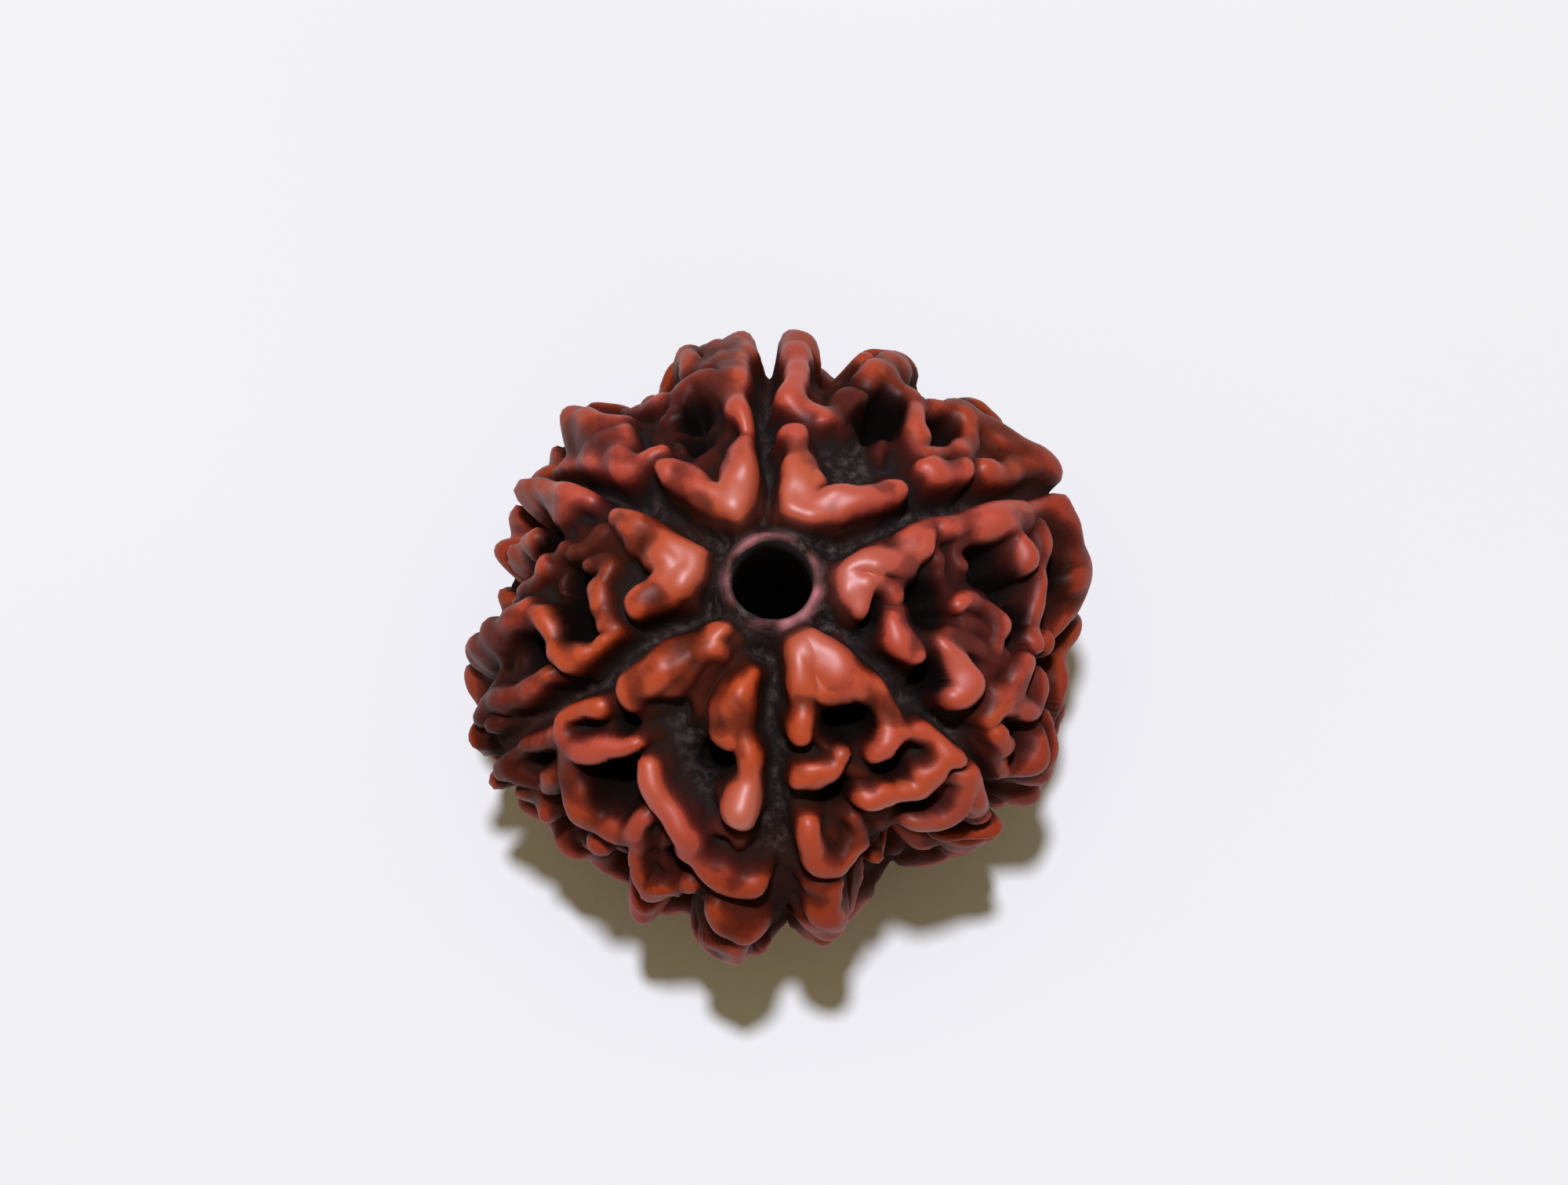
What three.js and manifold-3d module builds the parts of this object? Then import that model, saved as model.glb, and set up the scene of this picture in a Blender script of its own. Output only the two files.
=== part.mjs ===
// Six-faced rudraksha bead: the woody stone of an Elaeocarpus fruit, drilled along its axis.
// The bead is one solid, grown as one piece. Millimetres, +Z up. It stands on its lower pole, with
// its axis and its bore vertical, and the origin is on the surface that it stands on, under the bore.
//
// The surface is worked out point by point. A point is given by its longitude, measured from +X
// towards +Y, and its polar angle, measured from the upper pole, both in degrees. It lies on a
// smooth crest body, pressed in by a depth: nothing on the crown of a ridge, RELIEF in a valley, and
// more in a pit or in one of the six grooves that part the faces.
import Module from "manifold-3d";
import * as THREE from "three";
import { SimplifyModifier } from "three/addons/modifiers/SimplifyModifier.js";

// The body that the crowns of the ridges reach
const CREST_RADIUS = 10;
const CREST_HALF_HEIGHT = 8.2;
const FOOT_CUT = 0.6; // the lowest crowns are rubbed flat by this much, and the bead stands on them

// The bore along the axis, and the dimple that it opens in
const BORE_RADIUS = 1.22;
const DIMPLE_ANGLE = [7, 13]; // polar angle where the dimple's floor ends, and where its side ends
const DIMPLE_DEPTH = 1.0;
const LIP = { angle: 7.9, spread: 0.9, height: 0.28 };

// Ridges and valleys. A share is of RELIEF.
const RELIEF = 1.4; // from the floor of a valley to the crown of a ridge
const FLANK = { middle: 0.14, softness: 0.12 }; // where a ridge's side is halfway down, and its steepness
const CROWN = { shoulder: 0.74, reach: 0.5 }; // how round a crown is, and how far in the rounding goes
const MEETING = 0.1; // how softly ridges run into each other
const BLEND = 6; // how sharply the ridges, the webs and the floors meet
const SKIRT = { share: 0.46, reach: 0.6 }; // the low skirt round the foot of a ridge
const WAIST_FLOOR = 0.3; // how high the valleys' floor comes at the waist
const WANDER = { amount: 0.12, scale: 2 }; // the unevenness of a ridge's course
const KNOBBLE = { amount: 0.15, scale: 1.5 }; // the unevenness of a crown
const SWELLING = { amount: 0.12, scale: 1.3 }; // the unevenness of a ridge's width
const ROLL = { amount: 0.12, scale: 3.4 }; // the unevenness of the outer body
const REACH = 1.8; // further than this from its edge, a ridge has no say

// The grooves between the faces run from pole to pole
const GROOVE_HALF_WIDTH = 0.34;
const GROOVE_EXTRA_DEPTH = 0.4;
const GROOVES = [
  [[33, 12], [29, 30], [27, 50], [26, 75], [27, 110], [29, 168]],
  [[94, 12], [93, 28], [92, 45], [91, 75], [91, 110], [90, 168]],
  [[146, 12], [146, 30], [147, 50], [148, 75], [149, 110], [150, 168]],
  [[203, 12], [204, 30], [206, 48], [205, 70], [204, 110], [203, 168]],
  [[269, 12], [270, 30], [271, 50], [272, 75], [271, 110], [270, 168]],
  [[323, 12], [322, 30], [323, 50], [322, 72], [324, 110], [326, 168]],
];

// The waist is hidden in the valleys' own labyrinth: bands of one spacing that turn and join
const WAIST = { from: 80, to: 100, fade: 0.05, spacing: 2.6, waves: 8, share: 0.4 };

// Where the outer body is less full, or, where the depth is below zero, fuller: longitude, polar
// angle, spread in degrees, depth in millimetres
const HOLLOWS = [
  { lon: 356, theta: 80, spread: [8, 22], depth: 0.9 },
  { lon: 14, theta: 78, spread: [8, 20], depth: -0.2 },
  { lon: 28, theta: 78, spread: [26, 26], depth: -0.4 },
  { lon: 31, theta: 80, spread: [7, 14], depth: -0.4 },
  { lon: 77.5, theta: 74, spread: [4, 24], depth: 1.4 },
  { lon: 91, theta: 76, spread: [2.5, 20], depth: 0.8 },
  { lon: 106, theta: 80, spread: [8, 24], depth: 0.25 },
  { lon: 114.5, theta: 80, spread: [4, 26], depth: 0.6 },
  { lon: 121.5, theta: 78, spread: [7, 26], depth: 1.35 },
  { lon: 133, theta: 80, spread: [5, 24], depth: -0.5 },
  { lon: 141.5, theta: 74, spread: [4.5, 22], depth: 1.4 },
  { lon: 150, theta: 76, spread: [3, 20], depth: -0.35 },
  { lon: 156, theta: 76, spread: [4, 22], depth: 1.8 },
  { lon: 165, theta: 74, spread: [14, 24], depth: 0.5 },
  { lon: 160, theta: 76, spread: [3, 20], depth: 0.3 },
  { lon: 171.5, theta: 80, spread: [5.5, 24], depth: 2.4 },
  { lon: 184, theta: 84, spread: [4, 24], depth: -0.1 },
  { lon: 192, theta: 78, spread: [6, 20], depth: 0.8 },
  { lon: 200, theta: 74, spread: [7, 14], depth: -0.5 },
  { lon: 217.5, theta: 90, spread: [5, 20], depth: 0.9 },
  { lon: 234.5, theta: 92, spread: [8, 20], depth: 1.5 },
  { lon: 244, theta: 92, spread: [4, 18], depth: -0.25 },
  { lon: 250.5, theta: 94, spread: [3, 18], depth: 2.2 },
  { lon: 263, theta: 86, spread: [6, 18], depth: -0.55 },
  { lon: 262.5, theta: 43.5, spread: [4.5, 4.5], depth: -0.35 },
  { lon: 274.5, theta: 96, spread: [3, 16], depth: 1 },
  { lon: 289.5, theta: 86, spread: [4, 26], depth: 1.9 },
  { lon: 300, theta: 98, spread: [4.5, 18], depth: 1.1 },
  { lon: 300, theta: 70, spread: [4, 12], depth: 1 },
  { lon: 303, theta: 92, spread: [12, 22], depth: 2.4 },
  { lon: 325, theta: 90, spread: [3.5, 20], depth: 2 },
  { lon: 344, theta: 80, spread: [7, 20], depth: 0.4 },
];

// Pits: longitude, polar angle, radius and extra depth in millimetres
const PITS = [
  { lon: 60, theta: 47, radius: 0.95, depth: 1 },
  { lon: 46.5, theta: 51.5, radius: 0.68, depth: 1 },
  { lon: 113, theta: 42.5, radius: 0.55, depth: 0.5 },
  { lon: 117, theta: 35, radius: 0.5, depth: 0.6 },
  { lon: 343, theta: 18.5, radius: 0.45, depth: 0.5 },
  { lon: 9, theta: 44, radius: 0.6, depth: 0.9 },
  { lon: 4, theta: 49, radius: 0.55, depth: 1 },
  { lon: 356, theta: 54, radius: 0.5, depth: 0.8 },
  { lon: 331.5, theta: 37, radius: 0.6, depth: 0.6 },
  { lon: 357, theta: 29.5, radius: 0.5, depth: 0.5 },
  { lon: 350, theta: 31, radius: 0.45, depth: 0.5 },
  { lon: 8.5, theta: 70, radius: 0.5, depth: 0.9 },
  { lon: 331, theta: 63.5, radius: 0.45, depth: 0.8 },
  { lon: 297, theta: 30.5, radius: 0.65, depth: 1 },
  { lon: 304, theta: 31, radius: 0.65, depth: 1 },
  { lon: 304.5, theta: 43.5, radius: 0.42, depth: 0.9 },
  { lon: 287, theta: 43, radius: 0.5, depth: 0.9 },
  { lon: 306, theta: 55.5, radius: 0.5, depth: 0.9 },
  { lon: 251, theta: 37, radius: 0.6, depth: 1 },
  { lon: 229, theta: 51, radius: 1.1, depth: 1 },
  { lon: 223, theta: 39.5, radius: 0.3, depth: 0.7 },
  { lon: 250.5, theta: 61, radius: 0.45, depth: 1 },
  { lon: 214, theta: 66, radius: 0.4, depth: 0.9 },
  { lon: 176, theta: 40, radius: 0.55, depth: 0.8 },
  { lon: 184, theta: 40, radius: 0.7, depth: 1 },
  { lon: 191.5, theta: 40.5, radius: 0.7, depth: 1 },
  { lon: 192.5, theta: 53.5, radius: 0.6, depth: 0.8 },
  { lon: 163.5, theta: 51.5, radius: 0.5, depth: 0.9 },
];

// The ridges of each face, from the groove on its clockwise side to the next. A course is a list of
// longitude, polar angle and half width; the top is the height as a share, 1 where it isn't given.
const FACES = [
  [
    // between grooves 0 and 1: a chevron at the pole, a hooked loop and a ring round a pit
    { path: [[68, 13.8, 0.55], [73, 17.5, 0.6], [78, 22, 0.55], [81, 26, 0.48], [83, 29, 0.4]] },
    { path: [[68, 13.8, 0.58], [56, 16.3, 0.62], [46, 19.5, 0.6], [40.5, 24, 0.56], [38, 29, 0.45]] },
    {
      path: [
        [85, 74, 0.6], [85, 60, 0.6], [84.5, 49, 0.5],
        [85.5, 41, 0.45], [82, 37, 0.5], [75.5, 36.5, 0.55],
      ],
    },
    { top: 0.85, path: [[75.5, 36.5, 0.55], [71.5, 40, 0.5], [69, 46, 0.45]] },
    { path: [[67.5, 51, 0.5], [65.5, 56, 0.6], [64.5, 64, 0.6], [64.5, 74, 0.6]] },
    {
      top: 0.95,
      path: [
        [50, 44.5, 0.36], [53, 51, 0.36], [50, 59, 0.4],
        [44.5, 61, 0.45], [40.5, 56, 0.42], [39, 49, 0.4],
      ],
    },
    { top: 0.95, path: [[39, 49, 0.4], [40.5, 43, 0.38], [44.5, 41, 0.36], [50, 44.5, 0.36]] },
    { path: [[39.5, 38, 0.35], [36, 42, 0.5], [35, 46.5, 0.45]] },
    { path: [[46, 61, 0.5], [41, 64, 0.7], [37, 67, 0.8], [33, 70, 0.8], [30, 75, 0.7]] },
    { path: [[33, 52.5, 0.4], [31.5, 57, 0.5], [31, 62, 0.5], [31, 68, 0.5]] },
    { top: 0.9, path: [[54, 52.5, 0.4], [59, 54, 0.45], [64, 54, 0.45]] },
  ],
  [
    // between grooves 1 and 2: a chevron, and a round pit in an arch
    {
      path: [
        [118, 15.5, 0.6], [112, 16.7, 0.62], [108, 20, 0.68],
        [105, 23.5, 0.64], [101.5, 27.5, 0.5],
      ],
    },
    { path: [[118, 15.5, 0.6], [123, 18, 0.58], [128, 23, 0.55], [131.5, 27, 0.5], [133.5, 30, 0.4]] },
    {
      path: [
        [129.5, 33.5, 0.3], [133, 34.5, 0.42], [137.5, 36.5, 0.5],
        [141, 41, 0.55], [142.5, 47, 0.6],
      ],
    },
    { path: [[142.5, 47, 0.6], [142.5, 54, 0.65], [141, 61, 0.65], [141, 72, 0.6]] },
    { top: 0.95, path: [[130, 48.5, 0.38], [133, 52.5, 0.5], [136, 57, 0.62], [138, 64, 0.65]] },
    {
      path: [
        [99, 31, 0.36], [100, 36, 0.48], [101, 42, 0.58],
        [99.5, 49, 0.64], [98, 56, 0.76], [97, 64, 0.8],
      ],
    },
    { path: [[97, 64, 0.8], [97, 76, 0.8]] },
    {
      top: 0.9,
      path: [
        [100, 43, 0.5], [105, 48.5, 0.5], [111, 51, 0.45],
        [115.5, 48.5, 0.36], [119.5, 44, 0.28],
      ],
    },
    { top: 0.6, path: [[119.5, 44, 0.28], [121.5, 38.5, 0.24], [121.5, 33, 0.2]] },
    { path: [[105, 53, 0.5], [108, 57, 0.52], [108, 63, 0.5], [108, 74, 0.45]] },
    { top: 0.95, path: [[117, 52, 0.4], [120, 60, 0.7], [121.5, 70, 0.8]] },
  ],
  [
    // between grooves 2 and 3: a broad boomerang, and a worm that folds back on itself
    {
      path: [
        [173, 15.3, 0.6], [165.5, 17, 0.66], [159.5, 21, 0.74],
        [155.5, 26, 0.7], [153.5, 31, 0.52],
      ],
    },
    { path: [[173, 15.3, 0.6], [182, 17.5, 0.6], [188.5, 20.8, 0.58], [191.5, 24.3, 0.5]] },
    {
      top: 0.85,
      path: [
        [171.5, 36, 0.28], [171, 32.5, 0.34], [174.5, 31, 0.34],
        [180, 32, 0.36], [187, 33, 0.38],
      ],
    },
    {
      path: [
        [187, 33, 0.38], [193, 32, 0.4], [197.5, 31, 0.36],
        [199.5, 35.5, 0.45], [199.3, 40.5, 0.5],
      ],
    },
    {
      path: [
        [199.3, 40.5, 0.5], [195, 43.5, 0.45], [189, 45, 0.42],
        [184, 46.5, 0.45], [181.5, 50, 0.45],
      ],
    },
    { path: [[181.5, 50, 0.45], [184, 54, 0.55], [185, 60, 0.62], [185.5, 68, 0.7], [185.5, 80, 0.65]] },
    { path: [[201, 47, 0.35], [200.5, 53, 0.42], [199.5, 60, 0.42], [197.5, 67, 0.42], [197, 76, 0.5]] },
    { top: 0.9, path: [[188, 66, 0.5], [193, 70, 0.5], [197, 73, 0.5]] },
    { path: [[154, 41, 0.46], [154.5, 48, 0.68], [152.5, 57, 0.7], [151, 65, 0.62], [151.5, 76, 0.55]] },
    { path: [[163, 54, 0.38], [164, 59, 0.44], [165, 67, 0.48], [165.5, 77, 0.5]] },
    { top: 0.75, path: [[166, 43.5, 0.3], [170, 47, 0.4]] },
    { path: [[171, 49.5, 0.5], [173, 54, 0.56], [174, 61, 0.52], [174, 72, 0.5]] },
    { top: 0.7, path: [[161, 36, 0.3], [166, 37, 0.3], [168.5, 42, 0.3]] },
  ],
  [
    // between grooves 3 and 4: two long arms round a broad floor, and a curled worm
    {
      path: [
        [229.5, 11.5, 0.26], [225.5, 15.5, 0.46], [222, 19.5, 0.62],
        [220, 24, 0.72], [218.5, 29, 0.58],
      ],
    },
    { path: [[218.5, 29, 0.55], [218, 34, 0.52]] },
    {
      path: [
        [257.5, 17.5, 0.27], [255, 21, 0.42], [256.5, 25, 0.54],
        [260, 29, 0.52], [263.5, 33.5, 0.42],
      ],
    },
    { path: [[263.5, 33.5, 0.4], [263.5, 38, 0.42], [263.5, 43, 0.68]] },
    {
      path: [
        [214, 41.5, 0.42], [211.3, 45, 0.48], [211, 49, 0.48],
        [215, 51, 0.45], [219, 49.5, 0.42],
      ],
    },
    { path: [[219, 49.5, 0.42], [223, 46, 0.42], [227.3, 42.2, 0.36], [229.5, 39, 0.26]] },
    {
      path: [
        [236, 42, 0.32], [238.5, 45, 0.45], [242, 47.5, 0.48],
        [247.5, 51, 0.44], [252.5, 54.5, 0.42],
      ],
    },
    { path: [[252.5, 54.5, 0.42], [256, 58, 0.48], [260.5, 60.5, 0.52], [266.5, 61.5, 0.45]] },
    {
      top: 0.95,
      path: [
        [217, 54, 0.4], [221, 58, 0.52], [227, 61.5, 0.6],
        [233, 63, 0.6], [238, 60, 0.5], [240, 53, 0.4],
      ],
    },
    {
      top: 0.95,
      path: [
        [240.5, 60, 0.38], [241.5, 67, 0.38], [245, 72, 0.4],
        [249, 71, 0.38], [252.5, 66, 0.36],
      ],
    },
    { path: [[259, 70, 0.5], [263, 73, 0.6], [266, 74, 0.5]] },
    { top: 0.95, path: [[212, 54, 0.38], [210, 60, 0.42], [208, 68, 0.42], [207.5, 78, 0.45]] },
    { top: 0.9, path: [[208, 74, 0.4], [214, 74, 0.4], [218, 69, 0.38], [218, 61, 0.34]] },
  ],
  [
    // between grooves 4 and 5: a hooked cap over a deep pit, and worms laid in tiers
    { path: [[289, 12, 0.36], [287, 16, 0.5], [285, 20, 0.5], [282.5, 25, 0.48], [280.5, 29, 0.43]] },
    { path: [[289, 12, 0.36], [296, 15, 0.66], [304, 18, 0.74], [311, 22, 0.68], [314.5, 26.5, 0.58]] },
    {
      path: [
        [314.5, 26.5, 0.55], [314, 31, 0.5], [311.5, 34.5, 0.47],
        [308, 37, 0.5], [302.5, 37.7, 0.4],
      ],
    },
    {
      top: 0.95,
      path: [
        [277.5, 37.7, 0.36], [283, 38.2, 0.45],
        [288.5, 37.3, 0.38], [291.5, 35.3, 0.3],
      ],
    },
    {
      path: [
        [311, 37, 0.4], [315, 39.5, 0.45], [317.3, 42, 0.5],
        [316.5, 46, 0.52], [311.5, 49.5, 0.48],
      ],
    },
    {
      path: [
        [311.5, 49.5, 0.48], [307, 50.3, 0.43], [302, 48.7, 0.4],
        [298, 47, 0.44], [294, 46.3, 0.42],
      ],
    },
    { path: [[316.5, 46, 0.52], [318.5, 49.5, 0.34]] },
    {
      path: [
        [278.7, 46.5, 0.36], [279, 51, 0.45], [280.5, 57, 0.5],
        [284, 59.5, 0.5], [287.5, 58, 0.48],
      ],
    },
    { top: 0.85, path: [[287.5, 58, 0.48], [290, 54, 0.4], [290.3, 50.5, 0.3]] },
    { path: [[302, 58, 0.36], [305.5, 62.5, 0.5], [309.5, 63, 0.5], [313, 61, 0.46], [316, 57, 0.4]] },
    { top: 0.95, path: [[315.5, 54, 0.38], [318, 58, 0.5], [317, 63, 0.45], [316, 72, 0.5]] },
    { top: 0.6, path: [[293, 50, 0.25], [296, 54, 0.25], [299, 57, 0.25]] },
    { path: [[280, 66, 0.55], [280, 73, 0.6], [281, 82, 0.55]] },
  ],
  [
    // between grooves 5 and 0, the fullest face: a knobbly chevron, pits and a stout outer rim
    { path: [[362, 13, 0.5], [352, 14.5, 0.52], [342, 16.5, 0.38]] },
    {
      path: [
        [363, 13, 0.5], [368, 16.5, 0.48], [370.5, 20.5, 0.52],
        [372.5, 24, 0.6], [375.5, 27.5, 0.54], [378.5, 30.5, 0.4],
      ],
    },
    { top: 0.8, path: [[360, 22, 0.34], [352, 21.5, 0.44], [346, 22.5, 0.48]] },
    { path: [[345, 22.7, 0.46], [339.5, 24, 0.56], [335.5, 26, 0.56], [333, 29, 0.42]] },
    {
      path: [
        [380, 34, 0.46], [380.5, 40, 0.52], [380.5, 47, 0.6],
        [380.5, 53, 0.58], [381.5, 60, 0.5], [382, 70, 0.5],
      ],
    },
    { path: [[379.5, 45, 0.45], [376.5, 50.5, 0.42], [372.5, 52, 0.42], [368.5, 53, 0.42]] },
    { top: 0.75, path: [[378, 39, 0.35], [373, 37, 0.32], [368, 37.5, 0.28]] },
    { top: 0.7, path: [[377, 32.5, 0.24], [371, 33, 0.27], [366, 33, 0.22]] },
    {
      top: 0.95,
      path: [
        [378, 61, 0.4], [372, 60, 0.42], [365, 58, 0.4],
        [358, 57.5, 0.38], [352, 57, 0.38],
      ],
    },
    { path: [[381, 70, 0.5], [376, 76, 0.55], [370, 80, 0.55], [364, 80, 0.5], [359, 73, 0.4]] },
    {
      top: 0.9,
      path: [
        [354, 35.5, 0.26], [357.5, 38.5, 0.36], [357, 43, 0.42],
        [353.5, 46.5, 0.45], [349, 46, 0.4],
      ],
    },
    {
      path: [
        [340.5, 33.5, 0.36], [339, 37, 0.5], [336, 40.5, 0.58],
        [332, 42.5, 0.56], [329.5, 41, 0.4],
      ],
    },
    { path: [[346, 55, 0.48], [340, 55, 0.55], [336, 52, 0.55], [331, 51, 0.42]] },
    { top: 0.95, path: [[345, 64, 0.5], [339, 63, 0.5], [337, 56, 0.5]] },
    { path: [[323.5, 55, 0.34], [324, 62, 0.4], [325.5, 70, 0.45], [325.5, 80, 0.45]] },
    { top: 0.95, path: [[329, 55, 0.4], [328, 61, 0.34]] },
    { top: 0.95, path: [[335, 70, 0.42], [331, 72, 0.42], [326.5, 73, 0.42]] },
  ],
];

// Low webs between the ridges, in the same form
const WEBS = [
  [
    { top: 0.8, path: [[67, 18.5, 0.4], [66, 20, 0.35]] },
    { top: 0.6, path: [[79, 45, 0.4], [78, 52, 0.5], [76, 60, 0.6]] },
    { top: 0.6, path: [[53, 36, 0.35], [54, 41, 0.35]] },
    { top: 0.75, path: [[36, 53, 0.5], [37, 60, 0.5]] },
  ],
  [
    { top: 0.55, path: [[125, 27, 0.35], [118, 28, 0.4], [112, 30, 0.4], [106, 33, 0.4]] },
    { top: 0.97, path: [[135, 41, 0.6], [136.5, 47, 0.9], [138, 54, 1], [138.5, 64, 1]] },
    { top: 0.6, path: [[106, 42, 0.4], [110, 46, 0.4]] },
    { top: 0.95, path: [[103, 56, 0.5], [103, 70, 0.5]] },
    { top: 0.45, path: [[125, 40, 0.5], [122, 50, 0.5]] },
  ],
  [
    { top: 0.93, path: [[170.5, 20, 0.42], [165, 24.5, 0.5], [161, 29, 0.45]] },
    { top: 0.55, path: [[165, 30, 0.5], [163, 38, 0.5], [160, 42, 0.4]] },
    { top: 0.7, path: [[178, 42, 0.35], [174, 44, 0.4]] },
    { top: 0.6, path: [[178, 54, 0.4], [178, 62, 0.4]] },
    { top: 0.6, path: [[192, 57, 0.45], [193, 63, 0.45]] },
  ],
  [
    { top: 0.86, path: [[231.5, 15.5, 0.35], [231, 20, 0.52], [228, 26.5, 0.52]] },
    { top: 0.6, path: [[234, 20, 0.5], [238, 25, 0.5], [243, 28, 0.4]] },
    { top: 0.95, path: [[251.5, 21.5, 0.42], [250.5, 26, 0.56], [253.5, 30.5, 0.44]] },
    { top: 0.6, path: [[232, 59, 0.5], [228, 60, 0.4]] },
    { top: 0.6, path: [[257, 50, 0.4], [262, 52, 0.5]] },
    { top: 0.55, path: [[246, 56, 0.4], [248, 66, 0.4]] },
    { top: 0.55, path: [[255, 64, 0.4], [262, 66, 0.5]] },
  ],
  [
    { top: 0.97, path: [[289, 16, 0.5], [290, 20, 0.66], [297, 22, 0.75], [305, 24.5, 0.66]] },
    { top: 0.6, path: [[288, 25, 0.4], [289, 30, 0.4], [292, 34, 0.4]] },
    { top: 0.6, path: [[284, 52, 0.4], [285.5, 55, 0.45]] },
    { top: 0.6, path: [[294, 40, 0.35], [297, 42, 0.3]] },
    { top: 0.5, path: [[294, 50, 0.5], [298, 54, 0.5], [300, 60, 0.5]] },
    { top: 0.5, path: [[310, 54, 0.4], [312, 63, 0.5]] },
  ],
  [
    { top: 0.9, path: [[357, 18, 0.5], [354, 22, 0.4]] },
    { top: 0.5, path: [[369, 30, 0.3], [371, 35, 0.3]] },
    { top: 0.75, path: [[345, 33, 0.4], [344.5, 42, 0.5], [345, 50, 0.6]] },
    { top: 0.72, path: [[351, 39, 0.4], [350.5, 43, 0.4]] },
    { top: 0.7, path: [[340, 46, 0.5], [345, 50, 0.5]] },
    { top: 0.65, path: [[376, 56, 0.4], [370, 56, 0.4]] },
    { top: 0.6, path: [[352, 62, 0.5], [356, 66, 0.5]] },
    { top: 0.7, path: [[326, 58, 0.4], [328, 66, 0.4]] },
  ],
];

// Mesh: fine rings first, then as few triangles as hold the form
const STEPS_ROUND = 400;
const STEPS_DOWN = 190;
const STEPS_IN_BORE = 24;
const TRIANGLES = 11600;

const radians = THREE.MathUtils.degToRad;
const mix = THREE.MathUtils.lerp;
const smoothstep = THREE.MathUtils.smoothstep;

function onCrestBody(lon, theta) {
  const ring = CREST_RADIUS * Math.sin(radians(theta));
  return new THREE.Vector3(
    ring * Math.cos(radians(lon)),
    ring * Math.sin(radians(lon)),
    CREST_HALF_HEIGHT * Math.cos(radians(theta)),
  );
}

// A smooth course through hand-placed points, kept as short straight steps on the crest body. The
// half width goes along it by the same rule.
function course(points) {
  const smooth = (knots) => new THREE.CatmullRomCurve3(knots, false, "catmullrom", 0.5)
    .getPoints(4 * (points.length - 1));
  const steps = smooth(points.map(([lon, theta]) => onCrestBody(lon, theta)));
  const halves = smooth(points.map(([, , half = 0]) => new THREE.Vector3(half, 0, 0))).map(({ x }) => x);
  const sphere = new THREE.Sphere().setFromPoints(steps);
  sphere.radius += Math.max(...halves);
  return { steps, halves, sphere };
}

// The distance from a point to the edge of a course: infinite where it is clearly past the limit.
function outsideOf({ steps, halves, sphere }, point, limit) {
  let best = Infinity;
  if (point.distanceTo(sphere.center) > sphere.radius + limit) return best;
  const along = new THREE.Vector3();
  const from = new THREE.Vector3();
  for (let i = 1; i < steps.length; i++) {
    along.subVectors(steps[i], steps[i - 1]);
    from.subVectors(point, steps[i - 1]);
    const share = THREE.MathUtils.clamp(from.dot(along) / along.lengthSq(), 0, 1);
    const across = from.addScaledVector(along, -share).length();
    best = Math.min(best, across - mix(halves[i - 1], halves[i], share));
  }
  return best;
}

// A groove's longitude at a polar angle, and the longitude of a share of the way across a face.
function grooveLongitude(index, theta) {
  const points = GROOVES[index % 6];
  const turns = index >= 6 ? 360 : 0;
  if (theta <= points[0][1]) return points[0][0] + turns;
  for (let i = 1; i < points.length; i++) {
    const [lonA, thetaA] = points[i - 1];
    const [lonB, thetaB] = points[i];
    if (theta <= thetaB) return mix(lonA, lonB, (theta - thetaA) / (thetaB - thetaA)) + turns;
  }
  return points[points.length - 1][0] + turns;
}
function shareOfFace(face, lon, theta) {
  const start = grooveLongitude(face, theta);
  return (lon - start) / (grooveLongitude(face + 1, theta) - start);
}
function longitudeInFace(face, share, theta) {
  return mix(grooveLongitude(face, theta), grooveLongitude(face + 1, theta), share);
}

// The underside carries each face's ridges turned over, on the face that mirrors it.
function turnedOver(face, path) {
  const other = (8 - face) % 6;
  return path.map(([lon, theta, half]) => {
    const share = 1 - shareOfFace(face, lon, theta);
    return [longitudeInFace(other, share, 180 - theta), 180 - theta, half];
  });
}
function onBothSides(faces) {
  return faces.flatMap((own, face) =>
    own.flatMap(({ top = 1, path }) => [
      { top, line: course(path) },
      { top, line: course(turnedOver(face, path)) },
    ]),
  );
}

const ridges = onBothSides(FACES);
const webs = onBothSides(WEBS);
const grooves = GROOVES.map((points) => course(points));
const pits = PITS.flatMap((pit) => {
  const within = (lon, i) => shareOfFace(i, lon, pit.theta) > 0 && shareOfFace(i, lon, pit.theta) < 1;
  const face = GROOVES.findIndex((_, i) => within(pit.lon, i) || within(pit.lon + 360, i));
  const lonInFace = within(pit.lon, face) ? pit.lon : pit.lon + 360;
  const [[lon, theta]] = turnedOver(face, [[lonInFace, pit.theta]]);
  return [
    { ...pit, centre: onCrestBody(pit.lon, pit.theta) },
    { ...pit, centre: onCrestBody(lon, theta) },
  ];
});

// Slow unevenness: a few plane waves of about one length, each in its own direction, from -1 to 1.
function waves(point, scale, seed) {
  const count = 7;
  let sum = 0;
  for (let i = 0; i < count; i++) {
    const up = 1 - (2 * (i + 0.5)) / count;
    const turn = 2.399963 * (i + 1 + seed);
    const flat = Math.sqrt(1 - up * up);
    const rate = ((2 * Math.PI) / scale) * (0.75 + 0.5 * ((i * 0.618) % 1));
    const along = flat * Math.cos(turn) * point.x + flat * Math.sin(turn) * point.y + up * point.z;
    sum += Math.sin(rate * along + 1.7 * i + seed);
  }
  return sum / (2 * Math.sqrt(count / 2));
}

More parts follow.
